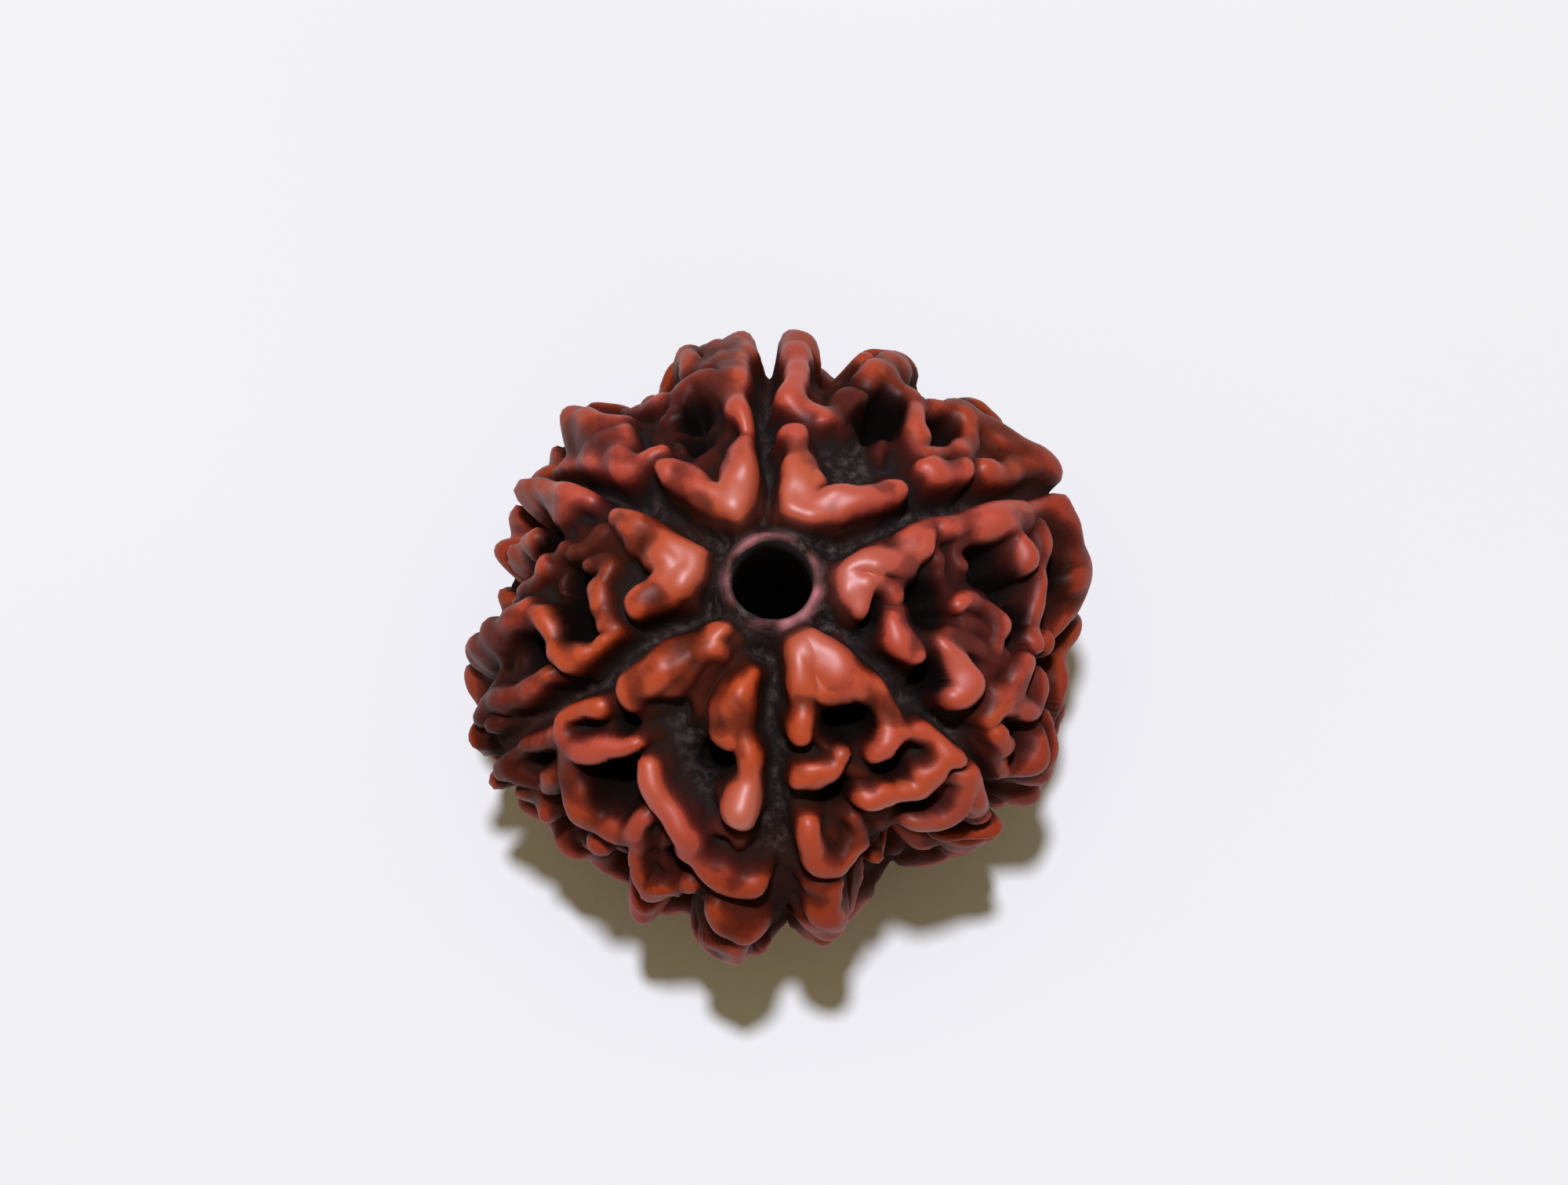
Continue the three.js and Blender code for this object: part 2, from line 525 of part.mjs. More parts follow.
// The waist's labyrinth: waves of one spacing that close on themselves once round the bead.
function labyrinth(lon, theta) {
  const rate = (2 * Math.PI) / WAIST.spacing;
  let sum = 0;
  for (let i = 0; i < WAIST.waves; i++) {
    const turn = (Math.PI * (i + 0.3)) / WAIST.waves;
    const round = Math.round(CREST_RADIUS * rate * Math.cos(turn));
    const down = CREST_HALF_HEIGHT * rate * Math.sin(turn);
    sum += Math.cos(round * radians(lon) + down * radians(theta) + 2.4 * i * i);
  }
  const height = sum / Math.sqrt(WAIST.waves / 2);
  const outside = Math.max(WAIST.from - theta, theta - WAIST.to, 0);
  return (WAIST.share - height) / (rate * 0.9) + WAIST.fade * outside;
}

// Many ridges as one: how near the nearest are, joined softly, and how high they are there.
function merged(list, point, swelling, start) {
  let near = start;
  let weighted = start;
  for (const { top, line } of list) {
    const pull = Math.exp((swelling - outsideOf(line, point, REACH)) / MEETING);
    near += pull;
    weighted += pull * top;
  }
  return { near, top: weighted / near };
}

// A ridge's section: a rounded crown, then a steep flank.
function crowned(outside) {
  const rounding = 1 - THREE.MathUtils.clamp(-outside / CROWN.reach, 0, 1);
  const crown = mix(CROWN.shoulder, 1, Math.sqrt(1 - rounding * rounding));
  return crown / (1 + Math.exp((outside - FLANK.middle) / FLANK.softness));
}

// How far the surface lies under the crest body at a point. The height is the softly greatest of the
// ridges, the low webs, a skirt round the ridges' feet and the waist's floor. Grooves cut through all
// of them, and pits through all but the ridges.
function depthAt(lon, theta) {
  const point = onCrestBody(lon, theta);
  const wandering = point.clone().add(
    new THREE.Vector3(
      waves(point, WANDER.scale, 1),
      waves(point, WANDER.scale, 2),
      waves(point, WANDER.scale, 3),
    ).multiplyScalar(WANDER.amount),
  );
  const swelling = SWELLING.amount * waves(point, SWELLING.scale, 7);
  let groove = 3;
  for (const line of grooves) groove = Math.min(groove, outsideOf(line, wandering, groove));
  const cut = Math.exp((GROOVE_HALF_WIDTH - groove) / MEETING);
  const none = Math.exp(-REACH / MEETING);
  const waist = Math.max(none, Math.exp(-labyrinth(lon, theta) / MEETING));
  const high = merged(ridges, wandering, swelling, waist);
  const outside = MEETING * Math.log(1 / high.near + cut);
  const low = merged(webs, wandering, swelling, none);
  const lowOutside = MEETING * Math.log(1 / low.near + cut);
  let unpitted = 1;
  let sunk = 0;
  for (const pit of pits) {
    const fall = Math.exp(-((point.distanceTo(pit.centre) / pit.radius) ** 3));
    unpitted = Math.min(unpitted, 1 - fall);
    sunk = Math.max(sunk, pit.depth * fall);
  }
  const around = Math.sin(radians(theta));
  const ridge = crowned(outside) * high.top;
  const web = crowned(lowOutside) * low.top * unpitted;
  const clear = smoothstep(groove, 0.2, 0.9) * unpitted;
  const skirt = SKIRT.share * Math.exp(-((Math.max(outside, 0) / SKIRT.reach) ** 2)) * clear;
  const floor = WAIST_FLOOR * smoothstep(around, 0.75, 0.97) * unpitted;
  const share = (ridge ** BLEND + web ** BLEND + skirt ** BLEND + floor ** BLEND) ** (1 / BLEND);
  let depth = RELIEF * (1 - share) - KNOBBLE.amount * waves(point, KNOBBLE.scale, 5) * ridge;
  const open = 1 - smoothstep(around, 0.75, 0.97);
  depth += GROOVE_EXTRA_DEPTH * (1 - smoothstep(groove, 0.15, 0.7)) * open;
  depth += sunk * (1 - smoothstep(ridge, 0.15, 0.6));
  depth += ROLL.amount * waves(point, ROLL.scale, 9) * smoothstep(around, 0.3, 0.8);
  for (const hollow of HOLLOWS) {
    const round = ((((lon - hollow.lon) % 360) + 540) % 360) - 180;
    const across = round / hollow.spread[0];
    const down = (theta - hollow.theta) / hollow.spread[1];
    depth += hollow.depth * Math.exp(-across * across - down * down);
  }
  const fromPole = Math.min(theta, 180 - theta);
  const dimple = 1 - smoothstep(fromPole, ...DIMPLE_ANGLE);
  const lip = LIP.height * Math.exp(-(((fromPole - LIP.angle) / LIP.spread) ** 2));
  return mix(depth, DIMPLE_DEPTH, dimple) - lip * (0.9 + 0.6 * waves(point, KNOBBLE.scale, 3));
}

// The finished surface: the crest body pressed in along its own normal.
function surfacePoint(lon, theta) {
  const point = onCrestBody(lon, theta);
  const normal = new THREE.Vector3(
    point.x / CREST_RADIUS ** 2,
    point.y / CREST_RADIUS ** 2,
    point.z / CREST_HALF_HEIGHT ** 2,
  ).normalize();
  const leaning = smoothstep(Math.min(theta, 180 - theta), 7, 17); // upright beside the bore
  normal.x *= leaning;
  normal.y *= leaning;
  point.addScaledVector(normal, -depthAt(lon, theta));
  point.z += CREST_HALF_HEIGHT - FOOT_CUT;
  return point;
}

// Rings of points: down the outside from rim to rim, then up the wall of the bore.
function rings() {
  const rim = THREE.MathUtils.radToDeg(Math.asin(BORE_RADIUS / CREST_RADIUS));
  const outside = [];
  for (let j = 0; j <= STEPS_DOWN; j++) {
    const theta = mix(rim, 180 - rim, j / STEPS_DOWN);
    const ring = [];
    for (let i = 0; i < STEPS_ROUND; i++) ring.push(surfacePoint((360 * i) / STEPS_ROUND, theta));
    outside.push(ring);
  }
  const [upper, lower] = [outside[0], outside[STEPS_DOWN]];
  const inside = [];
  for (let j = 1; j < STEPS_IN_BORE; j++) {
    const share = j / STEPS_IN_BORE;
    inside.push(lower.map((point, i) => point.clone().lerp(upper[i], share)));
  }
  return [...outside, ...inside];
}

// The rings joined into one closed skin, its faces pointing out.
function skin(rows) {
  const positions = rows.flatMap((row) => row.flatMap((point) => point.toArray()));
  const faces = [];
  for (let j = 0; j < rows.length; j++) {
    const next = (j + 1) % rows.length;
    for (let i = 0; i < STEPS_ROUND; i++) {
      const right = (i + 1) % STEPS_ROUND;
      const a = j * STEPS_ROUND + i;
      const b = j * STEPS_ROUND + right;
      const c = next * STEPS_ROUND + right;
      const d = next * STEPS_ROUND + i;
      faces.push(a, d, b, b, d, c);
    }
  }
  return new THREE.BufferGeometry()
    .setAttribute("position", new THREE.Float32BufferAttribute(positions, 3))
    .setIndex(faces);
}

// The part of a closed skin above the surface that the bead stands on.
async function cutFlatAtFoot(whole) {
  const wasm = await Module();
  wasm.setup();
  const solid = new wasm.Manifold(
    new wasm.Mesh({
      numProp: 3,
      vertProperties: whole.getAttribute("position").array,
      triVerts: new Uint32Array(whole.index.array),
    }),
  );
  const kept = solid.trimByPlane([0, 0, 1], 0).getMesh();
  return new THREE.BufferGeometry()
    .setAttribute("position", new THREE.BufferAttribute(kept.vertProperties, 3))
    .setIndex(new THREE.BufferAttribute(kept.triVerts, 1));
}

const fine = skin(rings());
const spare = fine.getAttribute("position").count - TRIANGLES / 2;
const coarse = await new SimplifyModifier().modify(fine, Math.round(spare));
const geometry = await cutFlatAtFoot(coarse);
geometry.computeVertexNormals();

const bead = new THREE.Mesh(
  geometry,
  new THREE.MeshStandardMaterial({ color: 0x8e3f22, roughness: 0.42, metalness: 0 }),
);
bead.name = "rudraksha_bead";

const part = new THREE.Group();
part.add(bead);
export default part;
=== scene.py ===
"""Looks of a six-faced rudraksha bead, standing on its lower pole on a pale floor.

The bead's surface is worked out from two parameters: the longitude, measured from +X towards +Y,
and the polar angle, measured from the upper pole, both in degrees. Lengths are in millimetres until
the mesh is made, and in metres from there on.
"""

import bpy
import numpy as np
from mathutils import Matrix, Vector


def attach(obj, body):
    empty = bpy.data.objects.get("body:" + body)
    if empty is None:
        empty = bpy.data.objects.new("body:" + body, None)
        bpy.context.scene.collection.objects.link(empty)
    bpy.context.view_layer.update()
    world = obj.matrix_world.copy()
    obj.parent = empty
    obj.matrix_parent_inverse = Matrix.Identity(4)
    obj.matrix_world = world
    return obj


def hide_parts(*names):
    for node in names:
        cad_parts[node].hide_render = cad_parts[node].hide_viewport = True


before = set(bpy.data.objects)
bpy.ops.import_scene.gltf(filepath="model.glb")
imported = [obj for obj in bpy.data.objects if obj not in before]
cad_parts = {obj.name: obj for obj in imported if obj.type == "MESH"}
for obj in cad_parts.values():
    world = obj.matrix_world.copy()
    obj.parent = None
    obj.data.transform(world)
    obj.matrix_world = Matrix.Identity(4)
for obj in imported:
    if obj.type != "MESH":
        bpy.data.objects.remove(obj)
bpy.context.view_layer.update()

MM = 0.001
GOLDEN_ANGLE = 2.399963

# The body that the crowns of the ridges reach
CREST_RADIUS = 10
CREST_HALF_HEIGHT = 8.2
FOOT_CUT = 0.6

# The bore along the axis, and the dimple that it opens in
BORE_RADIUS = 1.22
DIMPLE_ANGLE = (7, 13)
DIMPLE_DEPTH = 1.0
LIP_ANGLE, LIP_SPREAD, LIP_HEIGHT = 7.9, 0.9, 0.28

# Ridges and valleys
RELIEF = 1.4
FLANK_MIDDLE, FLANK_SOFTNESS = 0.14, 0.12
CROWN_SHOULDER, CROWN_REACH = 0.74, 0.5
MEETING = 0.1
BLEND = 6
SKIRT_SHARE, SKIRT_REACH = 0.46, 0.6
WAIST_FLOOR = 0.3
WAIST_BAND = (0.75, 0.97)
PIT_SHADE = 1.45
WANDER_AMOUNT, WANDER_SCALE = 0.12, 2
KNOBBLE_AMOUNT, KNOBBLE_SCALE = 0.15, 1.5
SWELLING_AMOUNT, SWELLING_SCALE = 0.12, 1.3
ROLL_AMOUNT, ROLL_SCALE = 0.12, 3.4
REACH = 1.8

# The grooves between the faces run from pole to pole
GROOVE_HALF_WIDTH = 0.34
GROOVE_EXTRA_DEPTH = 0.4
GROOVE_TRENCH = (0.15, 0.7)
GROOVES = [
    [(33, 12), (29, 30), (27, 50), (26, 75), (27, 110), (29, 168)],
    [(94, 12), (93, 28), (92, 45), (91, 75), (91, 110), (90, 168)],
    [(146, 12), (146, 30), (147, 50), (148, 75), (149, 110), (150, 168)],
    [(203, 12), (204, 30), (206, 48), (205, 70), (204, 110), (203, 168)],
    [(269, 12), (270, 30), (271, 50), (272, 75), (271, 110), (270, 168)],
    [(323, 12), (322, 30), (323, 50), (322, 72), (324, 110), (326, 168)],
]

# The waist's labyrinth: bands of one spacing that turn and join
WAIST_FROM, WAIST_TO, WAIST_FADE = 80, 100, 0.05
WAIST_SPACING, WAIST_WAVES, WAIST_SHARE = 2.6, 8, 0.4

# Where the outer body is less full, or, where the depth is below zero, fuller: longitude, polar
# angle, their spreads, depth
HOLLOWS = [
    (356, 80, 8, 22, 0.9),
    (14, 78, 8, 20, -0.2),
    (28, 78, 26, 26, -0.4),
    (31, 80, 7, 14, -0.4),
    (77.5, 74, 4, 24, 1.4),
    (91, 76, 2.5, 20, 0.8),
    (106, 80, 8, 24, 0.25),
    (114.5, 80, 4, 26, 0.6),
    (121.5, 78, 7, 26, 1.35),
    (133, 80, 5, 24, -0.5),
    (141.5, 74, 4.5, 22, 1.4),
    (150, 76, 3, 20, -0.35),
    (156, 76, 4, 22, 1.8),
    (165, 74, 14, 24, 0.5),
    (160, 76, 3, 20, 0.3),
    (171.5, 80, 5.5, 24, 2.4),
    (184, 84, 4, 24, -0.1),
    (192, 78, 6, 20, 0.8),
    (200, 74, 7, 14, -0.5),
    (217.5, 90, 5, 20, 0.9),
    (234.5, 92, 8, 20, 1.5),
    (244, 92, 4, 18, -0.25),
    (250.5, 94, 3, 18, 2.2),
    (263, 86, 6, 18, -0.55),
    (262.5, 43.5, 4.5, 4.5, -0.35),
    (274.5, 96, 3, 16, 1),
    (289.5, 86, 4, 26, 1.9),
    (300, 98, 4.5, 18, 1.1),
    (300, 70, 4, 12, 1),
    (303, 92, 12, 22, 2.4),
    (325, 90, 3.5, 20, 2),
    (344, 80, 7, 20, 0.4),
]

# Pits: longitude, polar angle, radius, extra depth
PITS = [
    (60, 47, 0.95, 1),
    (46.5, 51.5, 0.68, 1),
    (113, 42.5, 0.55, 0.5),
    (117, 35, 0.5, 0.6),
    (343, 18.5, 0.45, 0.5),
    (9, 44, 0.6, 0.9),
    (4, 49, 0.55, 1),
    (356, 54, 0.5, 0.8),
    (331.5, 37, 0.6, 0.6),
    (357, 29.5, 0.5, 0.5),
    (350, 31, 0.45, 0.5),
    (8.5, 70, 0.5, 0.9),
    (331, 63.5, 0.45, 0.8),
    (297, 30.5, 0.65, 1),
    (304, 31, 0.65, 1),
    (304.5, 43.5, 0.42, 0.9),
    (287, 43, 0.5, 0.9),
    (306, 55.5, 0.5, 0.9),
    (251, 37, 0.6, 1),
    (229, 51, 1.1, 1),
    (223, 39.5, 0.3, 0.7),
    (250.5, 61, 0.45, 1),
    (214, 66, 0.4, 0.9),
    (176, 40, 0.55, 0.8),
    (184, 40, 0.7, 1),
    (191.5, 40.5, 0.7, 1),
    (192.5, 53.5, 0.6, 0.8),
    (163.5, 51.5, 0.5, 0.9),
]

# Where the skin is painted paler as a highlight or, where the amount is below zero, darker as painted
# shade: longitude, polar angle, spread, amount
LIGHT_AND_SHADE_PATCHES = [
    (76, 15, 1.4, 0.6),
    (47, 20, 1.2, 0.2),
    (111, 14.5, 1.1, 0.7),
    (173, 14, 1.1, 0.9),
    (155, 28, 1.4, -0.1),
    (303, 20, 1.3, -0.15),
    (192, 24, 1, -0.2),
    (222, 22, 1.5, -0.1),
    (230, 13, 0.7, 0.5),
    (256, 27, 1.3, -0.1),
    (264, 41.5, 0.9, 0.8),
    (306, 60, 1.5, 0.4),
    (262, 74, 1.5, -0.4),
    (101, 50, 1.8, -0.3),
    (138, 52, 2.5, -0.3),
    (355, 21, 0.8, -0.4),
    (297, 15, 1.1, 0.8),
    (357, 13, 1.1, 0.9),
    (10, 22, 1, 0.3),
    (88, 46, 1, 0.2),
    (337, 38, 0.8, 0.35),
    (240, 46, 0.9, 0.3),
    (190, 60, 3, -0.5),
    (200, 20, 1.2, -0.2),
    (204, 74, 3, -0.4),
    (60, 62, 2.4, -0.2),
]

# Where the skin is redder or, where the amount is below zero, more orange: longitude, polar angle,
# spread, amount
HUES = [
    (357, 32, 6, 0.3),
    (225, 22, 2.5, -0.3),
    (258, 30, 3, -0.25),
    (250, 52, 2, 0.3),
    (217, 47, 2, 0.1),
    (173, 20, 3, -0.2),
    (200, 40, 2, -0.3),
    (288, 25, 3, -0.15),
    (312, 46, 2, -0.2),
    (60, 18, 2.5, -0.1),
    (80, 36, 2, 0.3),
    (138, 42, 3, 0.35),
    (105, 22, 2, -0.1),
]

# Ridges of each face: height as a share of RELIEF, and a course of longitude, polar angle and
# half width
FACES = [
    [
        (1, [(68, 13.8, 0.55), (73, 17.5, 0.6), (78, 22, 0.55), (81, 26, 0.48), (83, 29, 0.4)]),
        (1, [(68, 13.8, 0.58), (56, 16.3, 0.62), (46, 19.5, 0.6), (40.5, 24, 0.56), (38, 29, 0.45)]),
        (1, [
            (85, 74, 0.6), (85, 60, 0.6), (84.5, 49, 0.5),
            (85.5, 41, 0.45), (82, 37, 0.5), (75.5, 36.5, 0.55),
        ]),
        (0.85, [(75.5, 36.5, 0.55), (71.5, 40, 0.5), (69, 46, 0.45)]),
        (1, [(67.5, 51, 0.5), (65.5, 56, 0.6), (64.5, 64, 0.6), (64.5, 74, 0.6)]),
        (0.95, [
            (50, 44.5, 0.36), (53, 51, 0.36), (50, 59, 0.4),
            (44.5, 61, 0.45), (40.5, 56, 0.42), (39, 49, 0.4),
        ]),
        (0.95, [(39, 49, 0.4), (40.5, 43, 0.38), (44.5, 41, 0.36), (50, 44.5, 0.36)]),
        (1, [(39.5, 38, 0.35), (36, 42, 0.5), (35, 46.5, 0.45)]),
        (1, [(46, 61, 0.5), (41, 64, 0.7), (37, 67, 0.8), (33, 70, 0.8), (30, 75, 0.7)]),
        (1, [(33, 52.5, 0.4), (31.5, 57, 0.5), (31, 62, 0.5), (31, 68, 0.5)]),
        (0.9, [(54, 52.5, 0.4), (59, 54, 0.45), (64, 54, 0.45)]),
    ],
    [
        (1, [
            (118, 15.5, 0.6), (112, 16.7, 0.62), (108, 20, 0.68),
            (105, 23.5, 0.64), (101.5, 27.5, 0.5),
        ]),
        (1, [(118, 15.5, 0.6), (123, 18, 0.58), (128, 23, 0.55), (131.5, 27, 0.5), (133.5, 30, 0.4)]),
        (1, [
            (129.5, 33.5, 0.3), (133, 34.5, 0.42), (137.5, 36.5, 0.5),
            (141, 41, 0.55), (142.5, 47, 0.6),
        ]),
        (1, [(142.5, 47, 0.6), (142.5, 54, 0.65), (141, 61, 0.65), (141, 72, 0.6)]),
        (0.95, [(130, 48.5, 0.38), (133, 52.5, 0.5), (136, 57, 0.62), (138, 64, 0.65)]),
        (1, [
            (99, 31, 0.36), (100, 36, 0.48), (101, 42, 0.58),
            (99.5, 49, 0.64), (98, 56, 0.76), (97, 64, 0.8),
        ]),
        (1, [(97, 64, 0.8), (97, 76, 0.8)]),
        (0.9, [
            (100, 43, 0.5), (105, 48.5, 0.5), (111, 51, 0.45),
            (115.5, 48.5, 0.36), (119.5, 44, 0.28),
        ]),
        (0.6, [(119.5, 44, 0.28), (121.5, 38.5, 0.24), (121.5, 33, 0.2)]),
        (1, [(105, 53, 0.5), (108, 57, 0.52), (108, 63, 0.5), (108, 74, 0.45)]),
        (0.95, [(117, 52, 0.4), (120, 60, 0.7), (121.5, 70, 0.8)]),
    ],
    [
        (1, [
            (173, 15.3, 0.6), (165.5, 17, 0.66), (159.5, 21, 0.74),
            (155.5, 26, 0.7), (153.5, 31, 0.52),
        ]),
        (1, [(173, 15.3, 0.6), (182, 17.5, 0.6), (188.5, 20.8, 0.58), (191.5, 24.3, 0.5)]),
        (0.85, [
            (171.5, 36, 0.28), (171, 32.5, 0.34), (174.5, 31, 0.34),
            (180, 32, 0.36), (187, 33, 0.38),
        ]),
        (1, [
            (187, 33, 0.38), (193, 32, 0.4), (197.5, 31, 0.36),
            (199.5, 35.5, 0.45), (199.3, 40.5, 0.5),
        ]),
        (1, [
            (199.3, 40.5, 0.5), (195, 43.5, 0.45), (189, 45, 0.42),
            (184, 46.5, 0.45), (181.5, 50, 0.45),
        ]),
        (1, [(181.5, 50, 0.45), (184, 54, 0.55), (185, 60, 0.62), (185.5, 68, 0.7), (185.5, 80, 0.65)]),
        (1, [(201, 47, 0.35), (200.5, 53, 0.42), (199.5, 60, 0.42), (197.5, 67, 0.42), (197, 76, 0.5)]),
        (0.9, [(188, 66, 0.5), (193, 70, 0.5), (197, 73, 0.5)]),
        (1, [(154, 41, 0.46), (154.5, 48, 0.68), (152.5, 57, 0.7), (151, 65, 0.62), (151.5, 76, 0.55)]),
        (1, [(163, 54, 0.38), (164, 59, 0.44), (165, 67, 0.48), (165.5, 77, 0.5)]),
        (0.75, [(166, 43.5, 0.3), (170, 47, 0.4)]),
        (1, [(171, 49.5, 0.5), (173, 54, 0.56), (174, 61, 0.52), (174, 72, 0.5)]),
        (0.7, [(161, 36, 0.3), (166, 37, 0.3), (168.5, 42, 0.3)]),
    ],
    [
        (1, [
            (229.5, 11.5, 0.26), (225.5, 15.5, 0.46), (222, 19.5, 0.62),
            (220, 24, 0.72), (218.5, 29, 0.58),
        ]),
        (1, [(218.5, 29, 0.55), (218, 34, 0.52)]),
        (1, [
            (257.5, 17.5, 0.27), (255, 21, 0.42), (256.5, 25, 0.54),
            (260, 29, 0.52), (263.5, 33.5, 0.42),
        ]),
        (1, [(263.5, 33.5, 0.4), (263.5, 38, 0.42), (263.5, 43, 0.68)]),
        (1, [(214, 41.5, 0.42), (211.3, 45, 0.48), (211, 49, 0.48), (215, 51, 0.45), (219, 49.5, 0.42)]),
        (1, [(219, 49.5, 0.42), (223, 46, 0.42), (227.3, 42.2, 0.36), (229.5, 39, 0.26)]),
        (1, [
            (236, 42, 0.32), (238.5, 45, 0.45), (242, 47.5, 0.48),
            (247.5, 51, 0.44), (252.5, 54.5, 0.42),
        ]),
        (1, [(252.5, 54.5, 0.42), (256, 58, 0.48), (260.5, 60.5, 0.52), (266.5, 61.5, 0.45)]),
        (0.95, [
            (217, 54, 0.4), (221, 58, 0.52), (227, 61.5, 0.6),
            (233, 63, 0.6), (238, 60, 0.5), (240, 53, 0.4),
        ]),
        (0.95, [
            (240.5, 60, 0.38), (241.5, 67, 0.38), (245, 72, 0.4),
            (249, 71, 0.38), (252.5, 66, 0.36),
        ]),
        (1, [(259, 70, 0.5), (263, 73, 0.6), (266, 74, 0.5)]),
        (0.95, [(212, 54, 0.38), (210, 60, 0.42), (208, 68, 0.42), (207.5, 78, 0.45)]),
        (0.9, [(208, 74, 0.4), (214, 74, 0.4), (218, 69, 0.38), (218, 61, 0.34)]),
    ],
    [
        (1, [(289, 12, 0.36), (287, 16, 0.5), (285, 20, 0.5), (282.5, 25, 0.48), (280.5, 29, 0.43)]),
        (1, [(289, 12, 0.36), (296, 15, 0.66), (304, 18, 0.74), (311, 22, 0.68), (314.5, 26.5, 0.58)]),
        (1, [
            (314.5, 26.5, 0.55), (314, 31, 0.5), (311.5, 34.5, 0.47),
            (308, 37, 0.5), (302.5, 37.7, 0.4),
        ]),
        (0.95, [(277.5, 37.7, 0.36), (283, 38.2, 0.45), (288.5, 37.3, 0.38), (291.5, 35.3, 0.3)]),
        (1, [
            (311, 37, 0.4), (315, 39.5, 0.45), (317.3, 42, 0.5),
            (316.5, 46, 0.52), (311.5, 49.5, 0.48),
        ]),
        (1, [
            (311.5, 49.5, 0.48), (307, 50.3, 0.43), (302, 48.7, 0.4),
            (298, 47, 0.44), (294, 46.3, 0.42),
        ]),
        (1, [(316.5, 46, 0.52), (318.5, 49.5, 0.34)]),
        (1, [
            (278.7, 46.5, 0.36), (279, 51, 0.45), (280.5, 57, 0.5),
            (284, 59.5, 0.5), (287.5, 58, 0.48),
        ]),
        (0.85, [(287.5, 58, 0.48), (290, 54, 0.4), (290.3, 50.5, 0.3)]),
        (1, [(302, 58, 0.36), (305.5, 62.5, 0.5), (309.5, 63, 0.5), (313, 61, 0.46), (316, 57, 0.4)]),
        (0.95, [(315.5, 54, 0.38), (318, 58, 0.5), (317, 63, 0.45), (316, 72, 0.5)]),
        (0.6, [(293, 50, 0.25), (296, 54, 0.25), (299, 57, 0.25)]),
        (1, [(280, 66, 0.55), (280, 73, 0.6), (281, 82, 0.55)]),
    ],
    [
        (1, [(362, 13, 0.5), (352, 14.5, 0.52), (342, 16.5, 0.38)]),
        (1, [
            (363, 13, 0.5), (368, 16.5, 0.48), (370.5, 20.5, 0.52),
            (372.5, 24, 0.6), (375.5, 27.5, 0.54), (378.5, 30.5, 0.4),
        ]),
        (0.8, [(360, 22, 0.34), (352, 21.5, 0.44), (346, 22.5, 0.48)]),
        (1, [(345, 22.7, 0.46), (339.5, 24, 0.56), (335.5, 26, 0.56), (333, 29, 0.42)]),
        (1, [
            (380, 34, 0.46), (380.5, 40, 0.52), (380.5, 47, 0.6),
            (380.5, 53, 0.58), (381.5, 60, 0.5), (382, 70, 0.5),
        ]),
        (1, [(379.5, 45, 0.45), (376.5, 50.5, 0.42), (372.5, 52, 0.42), (368.5, 53, 0.42)]),
        (0.75, [(378, 39, 0.35), (373, 37, 0.32), (368, 37.5, 0.28)]),
        (0.7, [(377, 32.5, 0.24), (371, 33, 0.27), (366, 33, 0.22)]),
        (0.95, [(378, 61, 0.4), (372, 60, 0.42), (365, 58, 0.4), (358, 57.5, 0.38), (352, 57, 0.38)]),
        (1, [(381, 70, 0.5), (376, 76, 0.55), (370, 80, 0.55), (364, 80, 0.5), (359, 73, 0.4)]),
        (0.9, [
            (354, 35.5, 0.26), (357.5, 38.5, 0.36), (357, 43, 0.42),
            (353.5, 46.5, 0.45), (349, 46, 0.4),
        ]),
        (1, [
            (340.5, 33.5, 0.36), (339, 37, 0.5), (336, 40.5, 0.58),
            (332, 42.5, 0.56), (329.5, 41, 0.4),
        ]),
        (1, [(346, 55, 0.48), (340, 55, 0.55), (336, 52, 0.55), (331, 51, 0.42)]),
        (0.95, [(345, 64, 0.5), (339, 63, 0.5), (337, 56, 0.5)]),
        (1, [(323.5, 55, 0.34), (324, 62, 0.4), (325.5, 70, 0.45), (325.5, 80, 0.45)]),
        (0.95, [(329, 55, 0.4), (328, 61, 0.34)]),
        (0.95, [(335, 70, 0.42), (331, 72, 0.42), (326.5, 73, 0.42)]),
    ],
]

